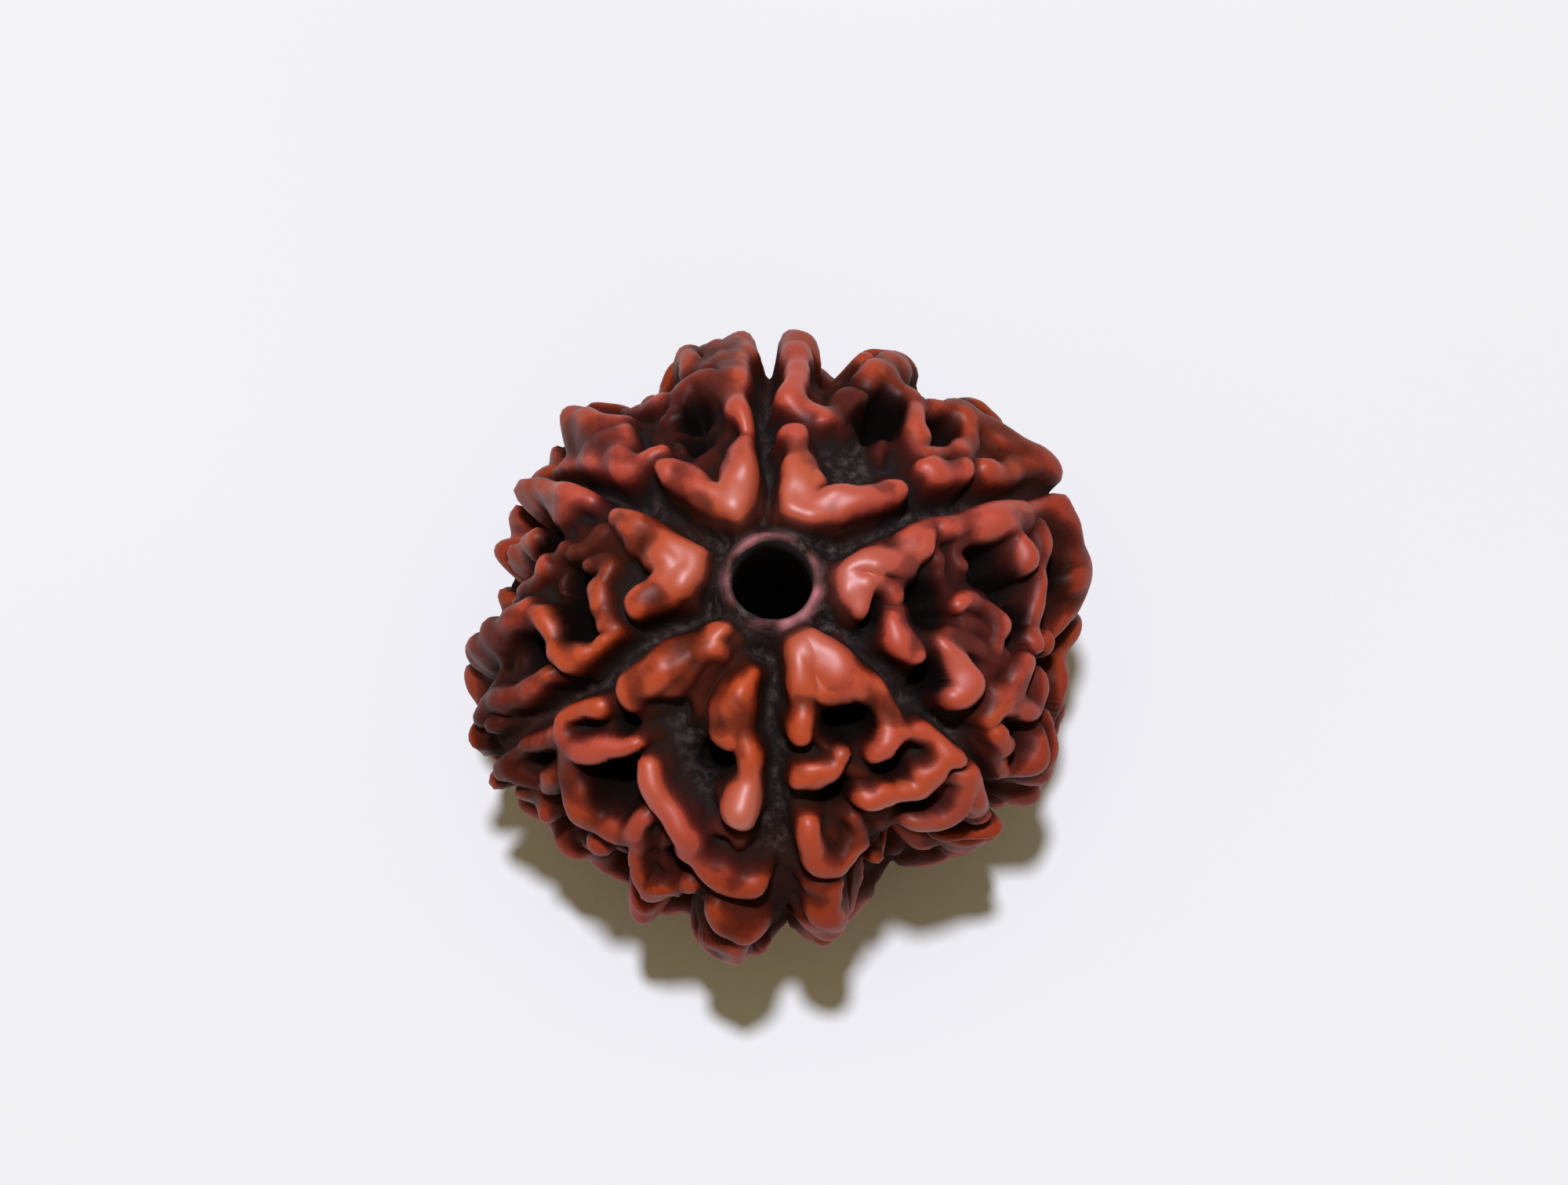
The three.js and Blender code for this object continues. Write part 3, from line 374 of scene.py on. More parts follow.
# Low webs between the ridges, in the same form
WEBS = [
    [
        (0.8, [(67, 18.5, 0.4), (66, 20, 0.35)]),
        (0.6, [(79, 45, 0.4), (78, 52, 0.5), (76, 60, 0.6)]),
        (0.6, [(53, 36, 0.35), (54, 41, 0.35)]),
        (0.75, [(36, 53, 0.5), (37, 60, 0.5)]),
    ],
    [
        (0.55, [(125, 27, 0.35), (118, 28, 0.4), (112, 30, 0.4), (106, 33, 0.4)]),
        (0.97, [(135, 41, 0.6), (136.5, 47, 0.9), (138, 54, 1), (138.5, 64, 1)]),
        (0.6, [(106, 42, 0.4), (110, 46, 0.4)]),
        (0.95, [(103, 56, 0.5), (103, 70, 0.5)]),
        (0.45, [(125, 40, 0.5), (122, 50, 0.5)]),
    ],
    [
        (0.93, [(170.5, 20, 0.42), (165, 24.5, 0.5), (161, 29, 0.45)]),
        (0.55, [(165, 30, 0.5), (163, 38, 0.5), (160, 42, 0.4)]),
        (0.7, [(178, 42, 0.35), (174, 44, 0.4)]),
        (0.6, [(178, 54, 0.4), (178, 62, 0.4)]),
        (0.6, [(192, 57, 0.45), (193, 63, 0.45)]),
    ],
    [
        (0.86, [(231.5, 15.5, 0.35), (231, 20, 0.52), (228, 26.5, 0.52)]),
        (0.6, [(234, 20, 0.5), (238, 25, 0.5), (243, 28, 0.4)]),
        (0.95, [(251.5, 21.5, 0.42), (250.5, 26, 0.56), (253.5, 30.5, 0.44)]),
        (0.6, [(232, 59, 0.5), (228, 60, 0.4)]),
        (0.6, [(257, 50, 0.4), (262, 52, 0.5)]),
        (0.55, [(246, 56, 0.4), (248, 66, 0.4)]),
        (0.55, [(255, 64, 0.4), (262, 66, 0.5)]),
    ],
    [
        (0.97, [(289, 16, 0.5), (290, 20, 0.66), (297, 22, 0.75), (305, 24.5, 0.66)]),
        (0.6, [(288, 25, 0.4), (289, 30, 0.4), (292, 34, 0.4)]),
        (0.6, [(284, 52, 0.4), (285.5, 55, 0.45)]),
        (0.6, [(294, 40, 0.35), (297, 42, 0.3)]),
        (0.5, [(294, 50, 0.5), (298, 54, 0.5), (300, 60, 0.5)]),
        (0.5, [(310, 54, 0.4), (312, 63, 0.5)]),
    ],
    [
        (0.9, [(357, 18, 0.5), (354, 22, 0.4)]),
        (0.5, [(369, 30, 0.3), (371, 35, 0.3)]),
        (0.75, [(345, 33, 0.4), (344.5, 42, 0.5), (345, 50, 0.6)]),
        (0.72, [(351, 39, 0.4), (350.5, 43, 0.4)]),
        (0.7, [(340, 46, 0.5), (345, 50, 0.5)]),
        (0.65, [(376, 56, 0.4), (370, 56, 0.4)]),
        (0.6, [(352, 62, 0.5), (356, 66, 0.5)]),
        (0.7, [(326, 58, 0.4), (328, 66, 0.4)]),
    ],
]

# What the finer surface adds: swollen shoulders, and the crumbs that fill the valleys
SWELL = 0.1
RAGGED_AMOUNT, RAGGED_SCALE = 0.05, 0.7
CRUMB_SIZES = ((0.62, 0.07), (0.34, 0.05))
NUB_SIZES = ((0.7, 0.05), (0.38, 0.025))
STEPS_ROUND, STEPS_DOWN, STEPS_IN_BORE = 440, 206, 10


def smoothstep(value, low, high):
    """Zero below low, one above high, and a smooth S between them."""
    share = np.clip((value - low) / (high - low), 0, 1)
    return share * share * (3 - 2 * share)


def on_crest_body(lon, theta):
    """Points of the crest body: an ellipsoid of CREST_RADIUS and CREST_HALF_HEIGHT."""
    lon, theta = np.radians(lon), np.radians(theta)
    ring = CREST_RADIUS * np.sin(theta)
    return np.stack([ring * np.cos(lon), ring * np.sin(lon), CREST_HALF_HEIGHT * np.cos(theta)], axis=-1)


def course(points):
    """A smooth course through given points, as short straight steps of x, y, z and half width.
    Between two points it is the cubic whose slopes at them are half the chord of their neighbours."""
    lon, theta, half = np.array([(*point, 0)[:3] for point in points], float).T
    knots = np.column_stack([on_crest_body(lon, theta), half])
    knots = np.vstack([2 * knots[0] - knots[1], knots, 2 * knots[-1] - knots[-2]])
    before, start, end, after = knots[:-3], knots[1:-2], knots[2:-1], knots[3:]
    steps = []
    for t in (0, 0.25, 0.5, 0.75):
        square, cube = t * t, t * t * t
        steps.append(
            start
            + 0.5 * t * (end - before)
            + 0.5 * square * (2 * before - 5 * start + 4 * end - after)
            + 0.5 * cube * (3 * start - before - 3 * end + after)
        )
    line = np.stack(steps, axis=1).reshape(-1, 4)
    return np.vstack([line, knots[-2]])


def outside_of(line, points, limit):
    """Distance from points to the edge of a course: to the foot of the perpendicular on each step,
    kept between the step's ends, less the half width there, and the least over the steps. It is
    infinite for points that are clearly further off than the limit."""
    margin = limit + line[:, 3].max()
    low, high = line[:, :3].min(axis=0) - margin, line[:, :3].max(axis=0) + margin
    near = np.all((points > low) & (points < high), axis=1)
    found = np.full(near.sum(), np.inf)
    for start, end in zip(line[:-1], line[1:]):
        along = end[:3] - start[:3]
        from_start = points[near] - start[:3]
        share = np.clip(from_start @ along / (along @ along), 0, 1)
        across = from_start - share[:, None] * along
        edge = start[3] + share * (end[3] - start[3])
        found = np.minimum(found, np.sqrt(np.einsum("ij,ij->i", across, across)) - edge)
    outside = np.full(len(points), np.inf)
    outside[near] = found
    return outside


def groove_longitude(index, theta):
    """The longitude of a groove at a polar angle; the seventh is the first, once round."""
    lon, at = np.array(GROOVES[index % 6], float).T
    return np.interp(theta, at, lon) + 360 * (index // 6)


def share_of_face(face, lon, theta):
    """How far across a face a point lies, from 0 at its first groove to 1 at its second."""
    start = groove_longitude(face, theta)
    return (lon - start) / (groove_longitude(face + 1, theta) - start)


def turned_over(face, points):
    """The same course on the underside: mirrored up to down and side to side, on the face that
    mirrors this one, and kept at the same share of the way across."""
    other = (8 - face) % 6
    result = []
    for lon, theta, half in points:
        share = 1 - share_of_face(face, lon, theta)
        start, end = groove_longitude(other, 180 - theta), groove_longitude(other + 1, 180 - theta)
        result.append((start + share * (end - start), 180 - theta, half))
    return result


def waves(points, scale, seed):
    """Slow unevenness: a sum of seven plane waves of about one length, each in its own direction."""
    count = 7
    total = np.zeros(len(points))
    for i in range(count):
        up = 1 - 2 * (i + 0.5) / count
        turn = GOLDEN_ANGLE * (i + 1 + seed)
        flat = np.sqrt(1 - up * up)
        rate = 2 * np.pi / scale * (0.75 + 0.5 * ((i * 0.618) % 1))
        along = points @ np.array([flat * np.cos(turn), flat * np.sin(turn), up])
        total += np.sin(rate * along + 1.7 * i + seed)
    return total / (2 * np.sqrt(count / 2))


def lumps(points, size, seed):
    """Value noise: random heights on a cubic lattice, blended smoothly between its corners."""
    table = np.random.default_rng(seed).uniform(-1, 1, (32, 32, 32))
    cell = points / size
    base = np.floor(cell).astype(int)
    blend = cell - base
    blend = blend * blend * (3 - 2 * blend)
    total = np.zeros(len(points))
    for corner in np.ndindex(2, 2, 2):
        weight = np.prod(np.where(np.array(corner) == 1, blend, 1 - blend), axis=1)
        i, j, k = ((base + corner) % 32).T
        total += weight * table[i, j, k]
    return total


def labyrinth(lon, theta):
    """Distance from the waist's bands: eight waves of one spacing in eight directions, each with a
    whole number of turns round the bead, give bands that turn and join where their sum is high."""
    rate = 2 * np.pi / WAIST_SPACING
    total = np.zeros(len(lon))
    for i in range(WAIST_WAVES):
        turn = np.pi * (i + 0.3) / WAIST_WAVES
        round_count = np.round(CREST_RADIUS * rate * np.cos(turn))
        down = CREST_HALF_HEIGHT * rate * np.sin(turn)
        total += np.cos(round_count * np.radians(lon) + down * np.radians(theta) + 2.4 * i * i)
    height = total / np.sqrt(WAIST_WAVES / 2)
    outside = np.maximum(np.maximum(WAIST_FROM - theta, theta - WAIST_TO), 0)
    return (WAIST_SHARE - height) / (rate * 0.9) + WAIST_FADE * outside


def on_both_sides(faces):
    """Height share and course of every ridge in a list by faces, on the upper side and turned over."""
    ridges = []
    for face, own in enumerate(faces):
        for top, points in own:
            ridges.append((top, course(points)))
            ridges.append((top, course(turned_over(face, points))))
    return ridges


def all_pits():
    """Centre, radius and depth of every pit, on the upper side and turned over."""
    pits = []
    for lon, theta, radius, depth in PITS:
        turned = lon + 360 if lon < groove_longitude(0, theta) else lon
        face = next(i for i in range(6) if turned < groove_longitude(i + 1, theta))
        under = turned_over(face, [(turned, theta, radius)])[0]
        for place in ((lon, theta), under[:2]):
            pits.append((on_crest_body(*place), radius, depth))
    return pits


def merged(ridges, points, swelling, near, weighted):
    """Distance outside all the ridges together, and their height share there. They meet softly: the
    distances are joined by the log of a sum of exponentials, and the shares are weighted by the same
    exponentials."""
    for top, line in ridges:
        pull = np.exp((swelling - outside_of(line, points, REACH)) / MEETING)
        near = near + pull
        weighted = weighted + pull * top
    return near, weighted / near


def crowned(outside):
    """A ridge's section: a rounded crown, then a steep flank."""
    rounding = 1 - np.clip(-outside / CROWN_REACH, 0, 1)
    crown = CROWN_SHOULDER + (1 - CROWN_SHOULDER) * np.sqrt(1 - rounding * rounding)
    return crown / (1 + np.exp((outside - FLANK_MIDDLE) / FLANK_SOFTNESS))


def patches(points, places):
    """The sum of round patches: each is its amount at its centre and falls off as a bell curve."""
    total = np.zeros(len(points))
    for lon, theta, spread, amount in places:
        away = np.linalg.norm(points - on_crest_body(lon, theta), axis=1)
        total += amount * np.exp(-((away / spread) ** 2))
    return total


def relief(lon, theta):
    """Depth under the crest body and what the finish needs to know, at each point. The height is
    the softly greatest of the ridges, the low webs, a skirt round the ridges' feet and the waist's
    floor; grooves cut through all of them, and pits through all but the ridges."""
    points = on_crest_body(lon, theta)
    drift = np.stack([waves(points, WANDER_SCALE, seed) for seed in (1, 2, 3)], axis=-1)
    wandering = points + WANDER_AMOUNT * drift
    swelling = SWELLING_AMOUNT * waves(points, SWELLING_SCALE, 7)
    swelling += RAGGED_AMOUNT * waves(points, RAGGED_SCALE, 8)
    groove = np.full(len(points), 3.0)
    for line in GROOVES:
        groove = np.minimum(groove, outside_of(course(line), wandering, 3))
    cut = np.exp((GROOVE_HALF_WIDTH - groove) / MEETING)
    none = np.full(len(points), np.exp(-REACH / MEETING))
    waist = np.maximum(none, np.exp(-labyrinth(lon, theta) / MEETING))
    near, top = merged(on_both_sides(FACES), wandering, swelling, waist, waist)
    outside = MEETING * np.log(1 / near + cut)
    low_near, low_top = merged(on_both_sides(WEBS), wandering, swelling, none, none)
    low_outside = MEETING * np.log(1 / low_near + cut)
    ridge = crowned(outside) * top
    pitted = np.zeros(len(points))
    shaded = np.zeros(len(points))
    sunk = np.zeros(len(points))
    for centre, radius, extra in all_pits():
        away = np.linalg.norm(points - centre, axis=1) / radius
        fall = np.exp(-(away**3))
        pitted = np.maximum(pitted, fall)
        shaded = np.maximum(shaded, np.exp(-((away / PIT_SHADE) ** 4)))
        sunk = np.maximum(sunk, extra * fall)
    open_share = smoothstep(groove, 0.2, 0.9) * (1 - pitted)
    web = crowned(low_outside) * low_top * (1 - pitted)
    skirt = SKIRT_SHARE * np.exp(-((np.maximum(outside, 0) / SKIRT_REACH) ** 2)) * open_share
    around = np.sin(np.radians(theta))
    at_waist = smoothstep(around, *WAIST_BAND)
    floor_share = WAIST_FLOOR * at_waist * (1 - pitted)
    share = (ridge**BLEND + web**BLEND + skirt**BLEND + floor_share**BLEND) ** (1 / BLEND)
    height = RELIEF * share + KNOBBLE_AMOUNT * waves(points, KNOBBLE_SCALE, 5) * ridge
    depth = RELIEF - height
    depth += GROOVE_EXTRA_DEPTH * (1 - smoothstep(groove, *GROOVE_TRENCH)) * (1 - at_waist)
    high = smoothstep(ridge, 0.15, 0.6)
    depth += (1 - high) * sunk
    for size, amount in CRUMB_SIZES:
        depth += (1 - high) * amount * lumps(points, size, 11)
    for size, amount in NUB_SIZES:
        depth += high * amount * lumps(points, size, 23)
    depth += ROLL_AMOUNT * waves(points, ROLL_SCALE, 9) * smoothstep(around, 0.3, 0.8)
    for at_lon, at_theta, across, down, extra in HOLLOWS:
        turn = (lon - at_lon + 540) % 360 - 180
        depth += extra * np.exp(-((turn / across) ** 2) - ((theta - at_theta) / down) ** 2)
    from_pole = np.minimum(theta, 180 - theta)
    dimple = 1 - smoothstep(from_pole, *DIMPLE_ANGLE)
    lip = np.exp(-(((from_pole - LIP_ANGLE) / LIP_SPREAD) ** 2))
    crumbs = lumps(points, 0.5, 31)
    depth = depth + dimple * (DIMPLE_DEPTH + 0.12 * crumbs - depth)
    depth -= LIP_HEIGHT * lip * (0.9 + 0.6 * waves(points, KNOBBLE_SCALE, 3))
    return depth, {
        "crown": np.clip(height / RELIEF, 0, 1) * (1 - dimple),
        # Where the shade in and round the pits is painted black.
        "pit_painted_shade": shaded * (1 - smoothstep(ridge, 0.65, 0.95)),
        "lip": lip * np.clip(0.5 + 0.7 * crumbs + 0.5 * waves(points, 1.8, 3), 0, 1),
        # Where shade is painted darker on the skin, and the coat is thinner.
        "side": smoothstep(around, 0.66, 0.97),
        # Patches where light and shade are painted on the skin.
        "light_and_shade": patches(points, LIGHT_AND_SHADE_PATCHES),
        "hue": patches(points, HUES),
    }


def rise(depth, rows, columns):
    """How far each point of the grid stands above the mean of its surroundings, from 0 to 1 with one
    half for level."""
    grid = depth.reshape(rows, columns)
    mean = sum(np.roll(grid, step, axis=1) for step in range(-4, 5)) / 9
    padded = np.pad(mean, ((4, 4), (0, 0)), mode="edge")
    mean = sum(padded[step : step + rows] for step in range(9)) / 9
    return np.clip(0.5 + (mean - grid).ravel() / 0.7, 0, 1)


def outer_surface():
    """The bead's outside from rim to rim: the crest body pressed in along its own normal, then its
    shoulders pushed out sideways, so that the ridges swell a little over the valleys."""
    rim = np.degrees(np.arcsin(BORE_RADIUS / CREST_RADIUS))
    rows, columns = STEPS_DOWN + 1, STEPS_ROUND
    theta, lon = np.meshgrid(
        np.linspace(rim, 180 - rim, rows), np.arange(columns) * 360 / columns, indexing="ij"
    )
    lon, theta = lon.ravel(), theta.ravel()
    points = on_crest_body(lon, theta)
    stretch = np.array([CREST_RADIUS, CREST_RADIUS, CREST_HALF_HEIGHT], float)
    normal = points / stretch**2
    normal /= np.linalg.norm(normal, axis=1, keepdims=True)
    leaning = smoothstep(np.minimum(theta, 180 - theta), 7, 17)
    normal[:, :2] *= leaning[:, None]
    depth, marks = relief(lon, theta)
    # How far a point stands out, used for the painted shade in the hollows.
    marks["rise"] = rise(depth, rows, columns)
    surface = points - normal * depth[:, None]
    grid = surface.reshape(rows, columns, 3)
    east = np.roll(grid, -1, axis=1) - np.roll(grid, 1, axis=1)
    south = np.gradient(grid, axis=0)
    facing = np.cross(south, east).reshape(-1, 3)
    facing /= np.linalg.norm(facing, axis=1, keepdims=True)
    sideways = facing - np.einsum("ij,ij->i", facing, normal)[:, None] * normal
    shoulder = smoothstep(marks["crown"], 0.4, 0.8) * leaning
    surface += SWELL * shoulder[:, None] * sideways
    surface[:, 2] = np.maximum(surface[:, 2] + CREST_HALF_HEIGHT - FOOT_CUT, 0)
    return surface.reshape(rows, columns, 3), marks


def bead_mesh():
    """One closed skin: the outside's rings, then straight rings up the wall of the bore."""
    outside, marks = outer_surface()
    shares = np.arange(1, STEPS_IN_BORE)[:, None, None] / STEPS_IN_BORE
    inside = outside[-1] + shares * (outside[0] - outside[-1])
    rings = np.concatenate([outside, inside])
    rows, columns = rings.shape[:2]
    j, i = np.meshgrid(np.arange(rows), np.arange(columns), indexing="ij")
    below, right = (j + 1) % rows, (i + 1) % columns
    corners = [j * columns + i, below * columns + i, below * columns + right, j * columns + right]
    quads = np.stack(corners, axis=-1).reshape(-1, 4)
    mesh = bpy.data.meshes.new("rudraksha_bead_skin")
    mesh.from_pydata((rings.reshape(-1, 3) * MM).tolist(), [], quads.tolist())
    in_bore = np.repeat(np.arange(rows) >= len(outside) - 1, columns)
    mesh.polygons.foreach_set("material_index", in_bore.astype(np.int32))
    mesh.polygons.foreach_set("use_smooth", np.ones(len(quads), bool))
    for name, values in marks.items():
        padded = np.concatenate([values, np.zeros(inside.shape[0] * columns)])
        mesh.attributes.new(name, "FLOAT", "POINT").data.foreach_set("value", padded)
    mesh.update()
    return mesh


class Nodes:
    """Short calls for building a material's node tree."""

    def __init__(self, tree):
        self.tree = tree

    def add(self, kind, inputs=(), **settings):
        made = self.tree.nodes.new(kind)
        for name, value in settings.items():
            setattr(made, name, value)
        for key, value in dict(inputs).items():
            self.feed(made.inputs[key], value)
        return made

    def feed(self, socket, value):
        if isinstance(value, bpy.types.NodeSocket):
            self.tree.links.new(value, socket)
        else:
            socket.default_value = value

    def math(self, operation, *values, clamp=False):
        made = self.add("ShaderNodeMath", operation=operation, use_clamp=clamp)
        for socket, value in zip(made.inputs, values):
            self.feed(socket, value)
        return made.outputs[0]

    def mix(self, share, first, second):
        inputs = {"Factor": share, "A": first, "B": second}
        made = self.add("ShaderNodeMix", data_type="RGBA")
        for name, value in inputs.items():
            socket = next(s for s in made.inputs if s.name == name and s.enabled)
            self.feed(socket, value)
        return next(s for s in made.outputs if s.enabled)

    def ramp(self, value, stops):
        made = self.add("ShaderNodeValToRGB", {"Fac": value})
        elements = made.color_ramp.elements
        while len(elements) < len(stops):
            elements.new(1)
        for element, (place, colour) in zip(elements, stops):
            element.position = place
            element.color = colour
        return made.outputs["Color"]

    def attribute(self, name):
        return self.add("ShaderNodeAttribute", attribute_name=name).outputs["Fac"]

    def noise(self, size, detail=4.0, roughness=0.55):
        """Noise whose largest features are about the given size in millimetres."""
        coordinates = self.add("ShaderNodeTexCoord").outputs["Object"]
        inputs = {"Vector": coordinates, "Scale": 1 / (size * MM), "Detail": detail, "Roughness": roughness}
        return self.add("ShaderNodeTexNoise", inputs).outputs["Fac"]


def grey(value):
    return (value, value, value, 1)


def new_material(name):
    material = bpy.data.materials.new(name)
    material.use_nodes = True
    nodes = Nodes(material.node_tree)
    shader = material.node_tree.nodes["Principled BSDF"]
    return material, nodes, shader


def skin_colour(nodes, height, painted_brightness):
    """Oiled skin from the dark foot of a ridge to its crown, drifting between orange and rosy red; the
    dark foot is partly the valleys' dark crumbs and partly painted shade on the flanks. It is painted
    paler pink as a highlight on the crowns where the light glints, darker as painted shade at the
    waist, and black as painted shade in the pits."""
    # Painted shade: the ramps darken from crown to foot, on top of the dark crumbs of the valleys.
    orange = nodes.ramp(painted_brightness, [
        (0.04, (0.018, 0.012, 0.011, 1)),
        (0.2, (0.022, 0.009, 0.006, 1)),
        (0.42, (0.045, 0.008, 0.004, 1)),
        (0.72, (0.09, 0.011, 0.004, 1)),
        (0.89, (0.23, 0.026, 0.006, 1)),
        (1.0, (0.49, 0.058, 0.01, 1)),
    ])
    rosy = nodes.ramp(painted_brightness, [
        (0.04, (0.018, 0.012, 0.012, 1)),
        (0.2, (0.023, 0.009, 0.008, 1)),
        (0.42, (0.05, 0.009, 0.007, 1)),
        (0.72, (0.1, 0.013, 0.009, 1)),
        (0.89, (0.24, 0.028, 0.016, 1)),
        (1.0, (0.49, 0.061, 0.031, 1)),
    ])
    redder = nodes.math("ADD", nodes.noise(5, 2, 0.5), nodes.attribute("hue"))
    spots = nodes.math("SUBTRACT", nodes.noise(1.4, 3, 0.5), 0.5)
    redder = nodes.math("MULTIPLY_ADD", spots, 0.8, redder)
    drift = nodes.ramp(redder, [(0.36, grey(0)), (0.66, grey(1))])
    skin = nodes.mix(drift, orange, rosy)
    # Painted highlight: paler pink on the crowns where the patches are above zero.
    highlight_mask = nodes.math("MULTIPLY", nodes.attribute("light_and_shade"), height, clamp=True)
    skin = nodes.mix(nodes.math("MULTIPLY", highlight_mask, 0.3), skin, (0.62, 0.21, 0.16, 1))
    # Painted shade: darker towards the waist, where the sides turn away from the light.
    skin = nodes.mix(nodes.math("MULTIPLY", nodes.attribute("side"), 0.45), skin, (0.04, 0.006, 0.002, 1))
    # Painted shade: the pits and the walls round them painted black.
    skin = nodes.mix(nodes.math("MULTIPLY", nodes.attribute("pit_painted_shade"), 0.97), skin, (0.001, 0.001, 0.001, 1))
    return skin, highlight_mask


def grained(nodes, skin, valley):
    """Pale grains on the open floors of the valleys, and the patchy pale mauve lip of the bore."""
    grains = nodes.ramp(nodes.noise(0.34, 4, 0.65), [(0.46, grey(0)), (0.78, grey(1))])
    open_floor = nodes.math("SUBTRACT", 1, nodes.attribute("pit_painted_shade"), clamp=True)
    seen = nodes.math("MULTIPLY", nodes.math("MULTIPLY", grains, valley), open_floor)
    colour = nodes.mix(nodes.math("MULTIPLY", seen, 0.75), skin, (0.14, 0.115, 0.1, 1))
    rim = nodes.math("MULTIPLY", nodes.attribute("lip"), nodes.noise(0.6, 4, 0.6))
    return nodes.mix(rim, colour, (0.8, 0.29, 0.32, 1))


def polished_stone():
    """Oiled reddish brown crowns with painted highlights, flanks darkened by painted shade, and dark crumbs
    with paler grains in the valleys.
    """
    material, nodes, shader = new_material("polished_stone")
    crown = nodes.attribute("crown")
    valley = nodes.math("SUBTRACT", 1, nodes.math("MULTIPLY", crown, 4), clamp=True)
    mottle = nodes.math("SUBTRACT", nodes.noise(0.9, 5, 0.6), 0.5)
    height = nodes.math("MULTIPLY_ADD", mottle, 0.42, crown)
    # Painted shade: points lower than their surroundings read darker, higher ones lighter.
    cavity_shade = nodes.math("SUBTRACT", nodes.attribute("rise"), 0.68)
    height = nodes.math("MULTIPLY_ADD", cavity_shade, 0.6, height)
    # Painted light and shade: the patches move the colour ramp paler or darker.
    painted_brightness = nodes.math("MULTIPLY_ADD", nodes.attribute("light_and_shade"), 0.4, height)
    skin, highlight_mask = skin_colour(nodes, height, painted_brightness)
    nodes.feed(shader.inputs["Base Color"], grained(nodes, skin, valley))
    gloss = nodes.ramp(height, [(0.3, grey(1)), (0.6, grey(0.6)), (0.85, grey(0.48)), (1.0, grey(0.44))])
    nodes.feed(shader.inputs["Roughness"], gloss)
    shader.inputs["Specular IOR Level"].default_value = 0.12
    shader.inputs["Specular Tint"].default_value = (1, 0.6, 0.52, 1)
    oiled = nodes.ramp(painted_brightness, [(0.5, grey(0)), (0.88, grey(0.25)), (1.0, grey(0.55))])
    oiled = nodes.math("MULTIPLY_ADD", highlight_mask, 0.7, oiled, clamp=True)
    sheltered = nodes.math("MULTIPLY_ADD", nodes.attribute("side"), -0.92, 1)
    nodes.feed(shader.inputs["Coat Weight"], nodes.math("MULTIPLY", oiled, sheltered))
    shader.inputs["Coat Roughness"].default_value = 0.5
    shader.inputs["Coat IOR"].default_value = 1.8
    pores = nodes.noise(0.16, 4, 0.6)
    strength = nodes.math("MULTIPLY_ADD", valley, 0.05 * MM, 0.012 * MM)
    bump = nodes.add("ShaderNodeBump", {
        "Strength": 1.0,
        "Distance": 1.0,
        "Height": nodes.math("MULTIPLY", pores, strength),
    })
    nodes.feed(shader.inputs["Normal"], bump.outputs["Normal"])
    return material


def drilled_wall():
    """The dry wall of the bore, painted near black for the shade deep inside it, scored round by the drill.
    """
    material, nodes, shader = new_material("drilled_wall")
    fibres = nodes.noise(0.3, 5, 0.6)
    # Painted shade: near black for the shade deep in the bore.
    colour = nodes.ramp(fibres, [(0.3, (0.006, 0.004, 0.004, 1)), (0.75, (0.03, 0.014, 0.01, 1))])
    nodes.feed(shader.inputs["Base Color"], colour)
    nodes.feed(shader.inputs["Roughness"], 0.9)
    coordinates = nodes.add("ShaderNodeTexCoord").outputs["Object"]
    scoring = nodes.add("ShaderNodeTexWave", {
        "Vector": coordinates,
        "Scale": 1 / (0.5 * MM) / 20,
        "Distortion": 1.5,
        "Detail": 2.0,
    }, bands_direction="Z")
    bump = nodes.add("ShaderNodeBump", {
        "Strength": 0.5,
        "Distance": 0.02 * MM,
        "Height": scoring.outputs["Fac"],
    })
    nodes.feed(shader.inputs["Normal"], bump.outputs["Normal"])
    return material


def bead():
    made = bpy.data.objects.new("rudraksha_bead_carved", bead_mesh())
    bpy.context.scene.collection.objects.link(made)
    made.data.materials.append(polished_stone())
    made.data.materials.append(drilled_wall())
    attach(made, "root")
    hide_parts("rudraksha_bead")
    return made


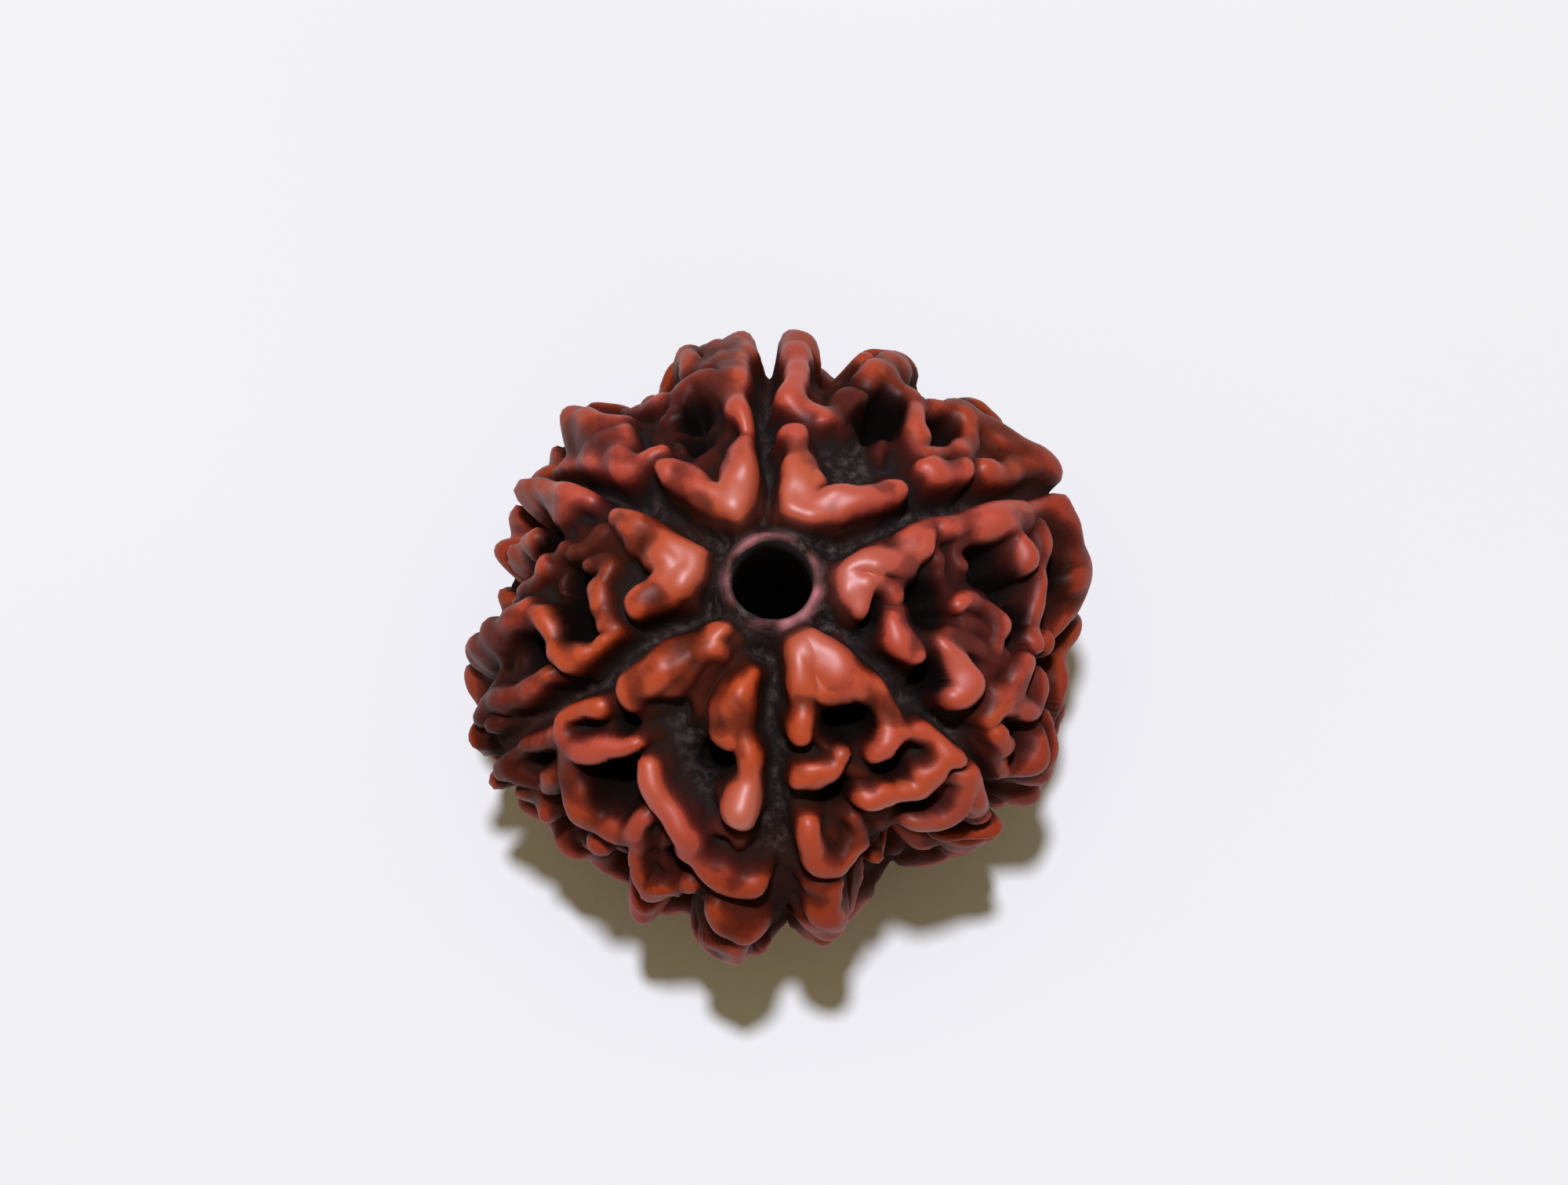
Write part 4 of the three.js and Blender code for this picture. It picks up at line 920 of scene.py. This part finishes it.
def floor():
    """A pale, almost matt floor, wide enough for every view."""
    half = 1.5
    mesh = bpy.data.meshes.new("floor")
    corners = [(-half, -half, 0), (half, -half, 0), (half, half, 0), (-half, half, 0)]
    mesh.from_pydata(corners, [], [(0, 1, 2, 3)])
    made = bpy.data.objects.new("floor", mesh)
    bpy.context.scene.collection.objects.link(made)
    material, nodes, shader = new_material("pale_floor")
    tint = nodes.ramp(nodes.noise(60, 2, 0.5), [(0.3, (0.8, 0.8, 0.81, 1)), (0.7, (0.83, 0.83, 0.84, 1))])
    nodes.feed(shader.inputs["Base Color"], tint)
    shader.inputs["Roughness"].default_value = 0.7
    made.data.materials.append(material)


def aim(made, place, target):
    made.location = place
    made.rotation_euler = (Vector(target) - Vector(place)).to_track_quat("-Z", "Y").to_euler()


def area_light(name, place, size, watts, colour):
    light = bpy.data.lights.new(name, "AREA")
    light.shape = "DISK"
    light.size = size
    light.energy = watts
    light.color = colour
    made = bpy.data.objects.new(name, light)
    bpy.context.scene.collection.objects.link(made)
    aim(made, place, (0, 0, CREST_HALF_HEIGHT * MM))


def lights():
    """A small key light high behind the bead, and an even warm surround."""
    area_light("key", (-0.01, 0.05, 0.5), 0.04, 2.45, (0.85, 0.88, 1))
    world = bpy.data.worlds.new("surround")
    world.use_nodes = True
    background = world.node_tree.nodes["Background"]
    background.inputs["Color"].default_value = (1, 0.88, 0.5, 1)
    background.inputs["Strength"].default_value = 0.25
    bpy.context.scene.world = world


def camera():
    """The photograph's view: 75 degrees above the floor, from -Y, through an 85 mm lens."""
    lens, sensor = 85, 36
    photo_width = 2000
    pixels_per_mm = 40.1
    distance = photo_width * lens / sensor / pixels_per_mm
    elevation = np.radians(75)
    back = Vector((0, -np.cos(elevation), np.sin(elevation)))
    up = Vector((0, np.sin(elevation), np.cos(elevation)))
    right = Vector((1, 0, 0))
    target = Vector((0.35, 1.56, CREST_HALF_HEIGHT - FOOT_CUT))
    data = bpy.data.cameras.new("camera")
    data.lens = lens
    data.sensor_width = sensor
    data.clip_start = 0.005
    made = bpy.data.objects.new("camera", data)
    bpy.context.scene.collection.objects.link(made)
    turn = Matrix((right, up, back)).transposed()
    made.matrix_world = Matrix.Translation((target + distance * back) * MM) @ turn.to_4x4()
    bpy.context.scene.camera = made
    bpy.context.scene.view_settings.view_transform = "Standard"


camera()
lights()
floor()
bead()
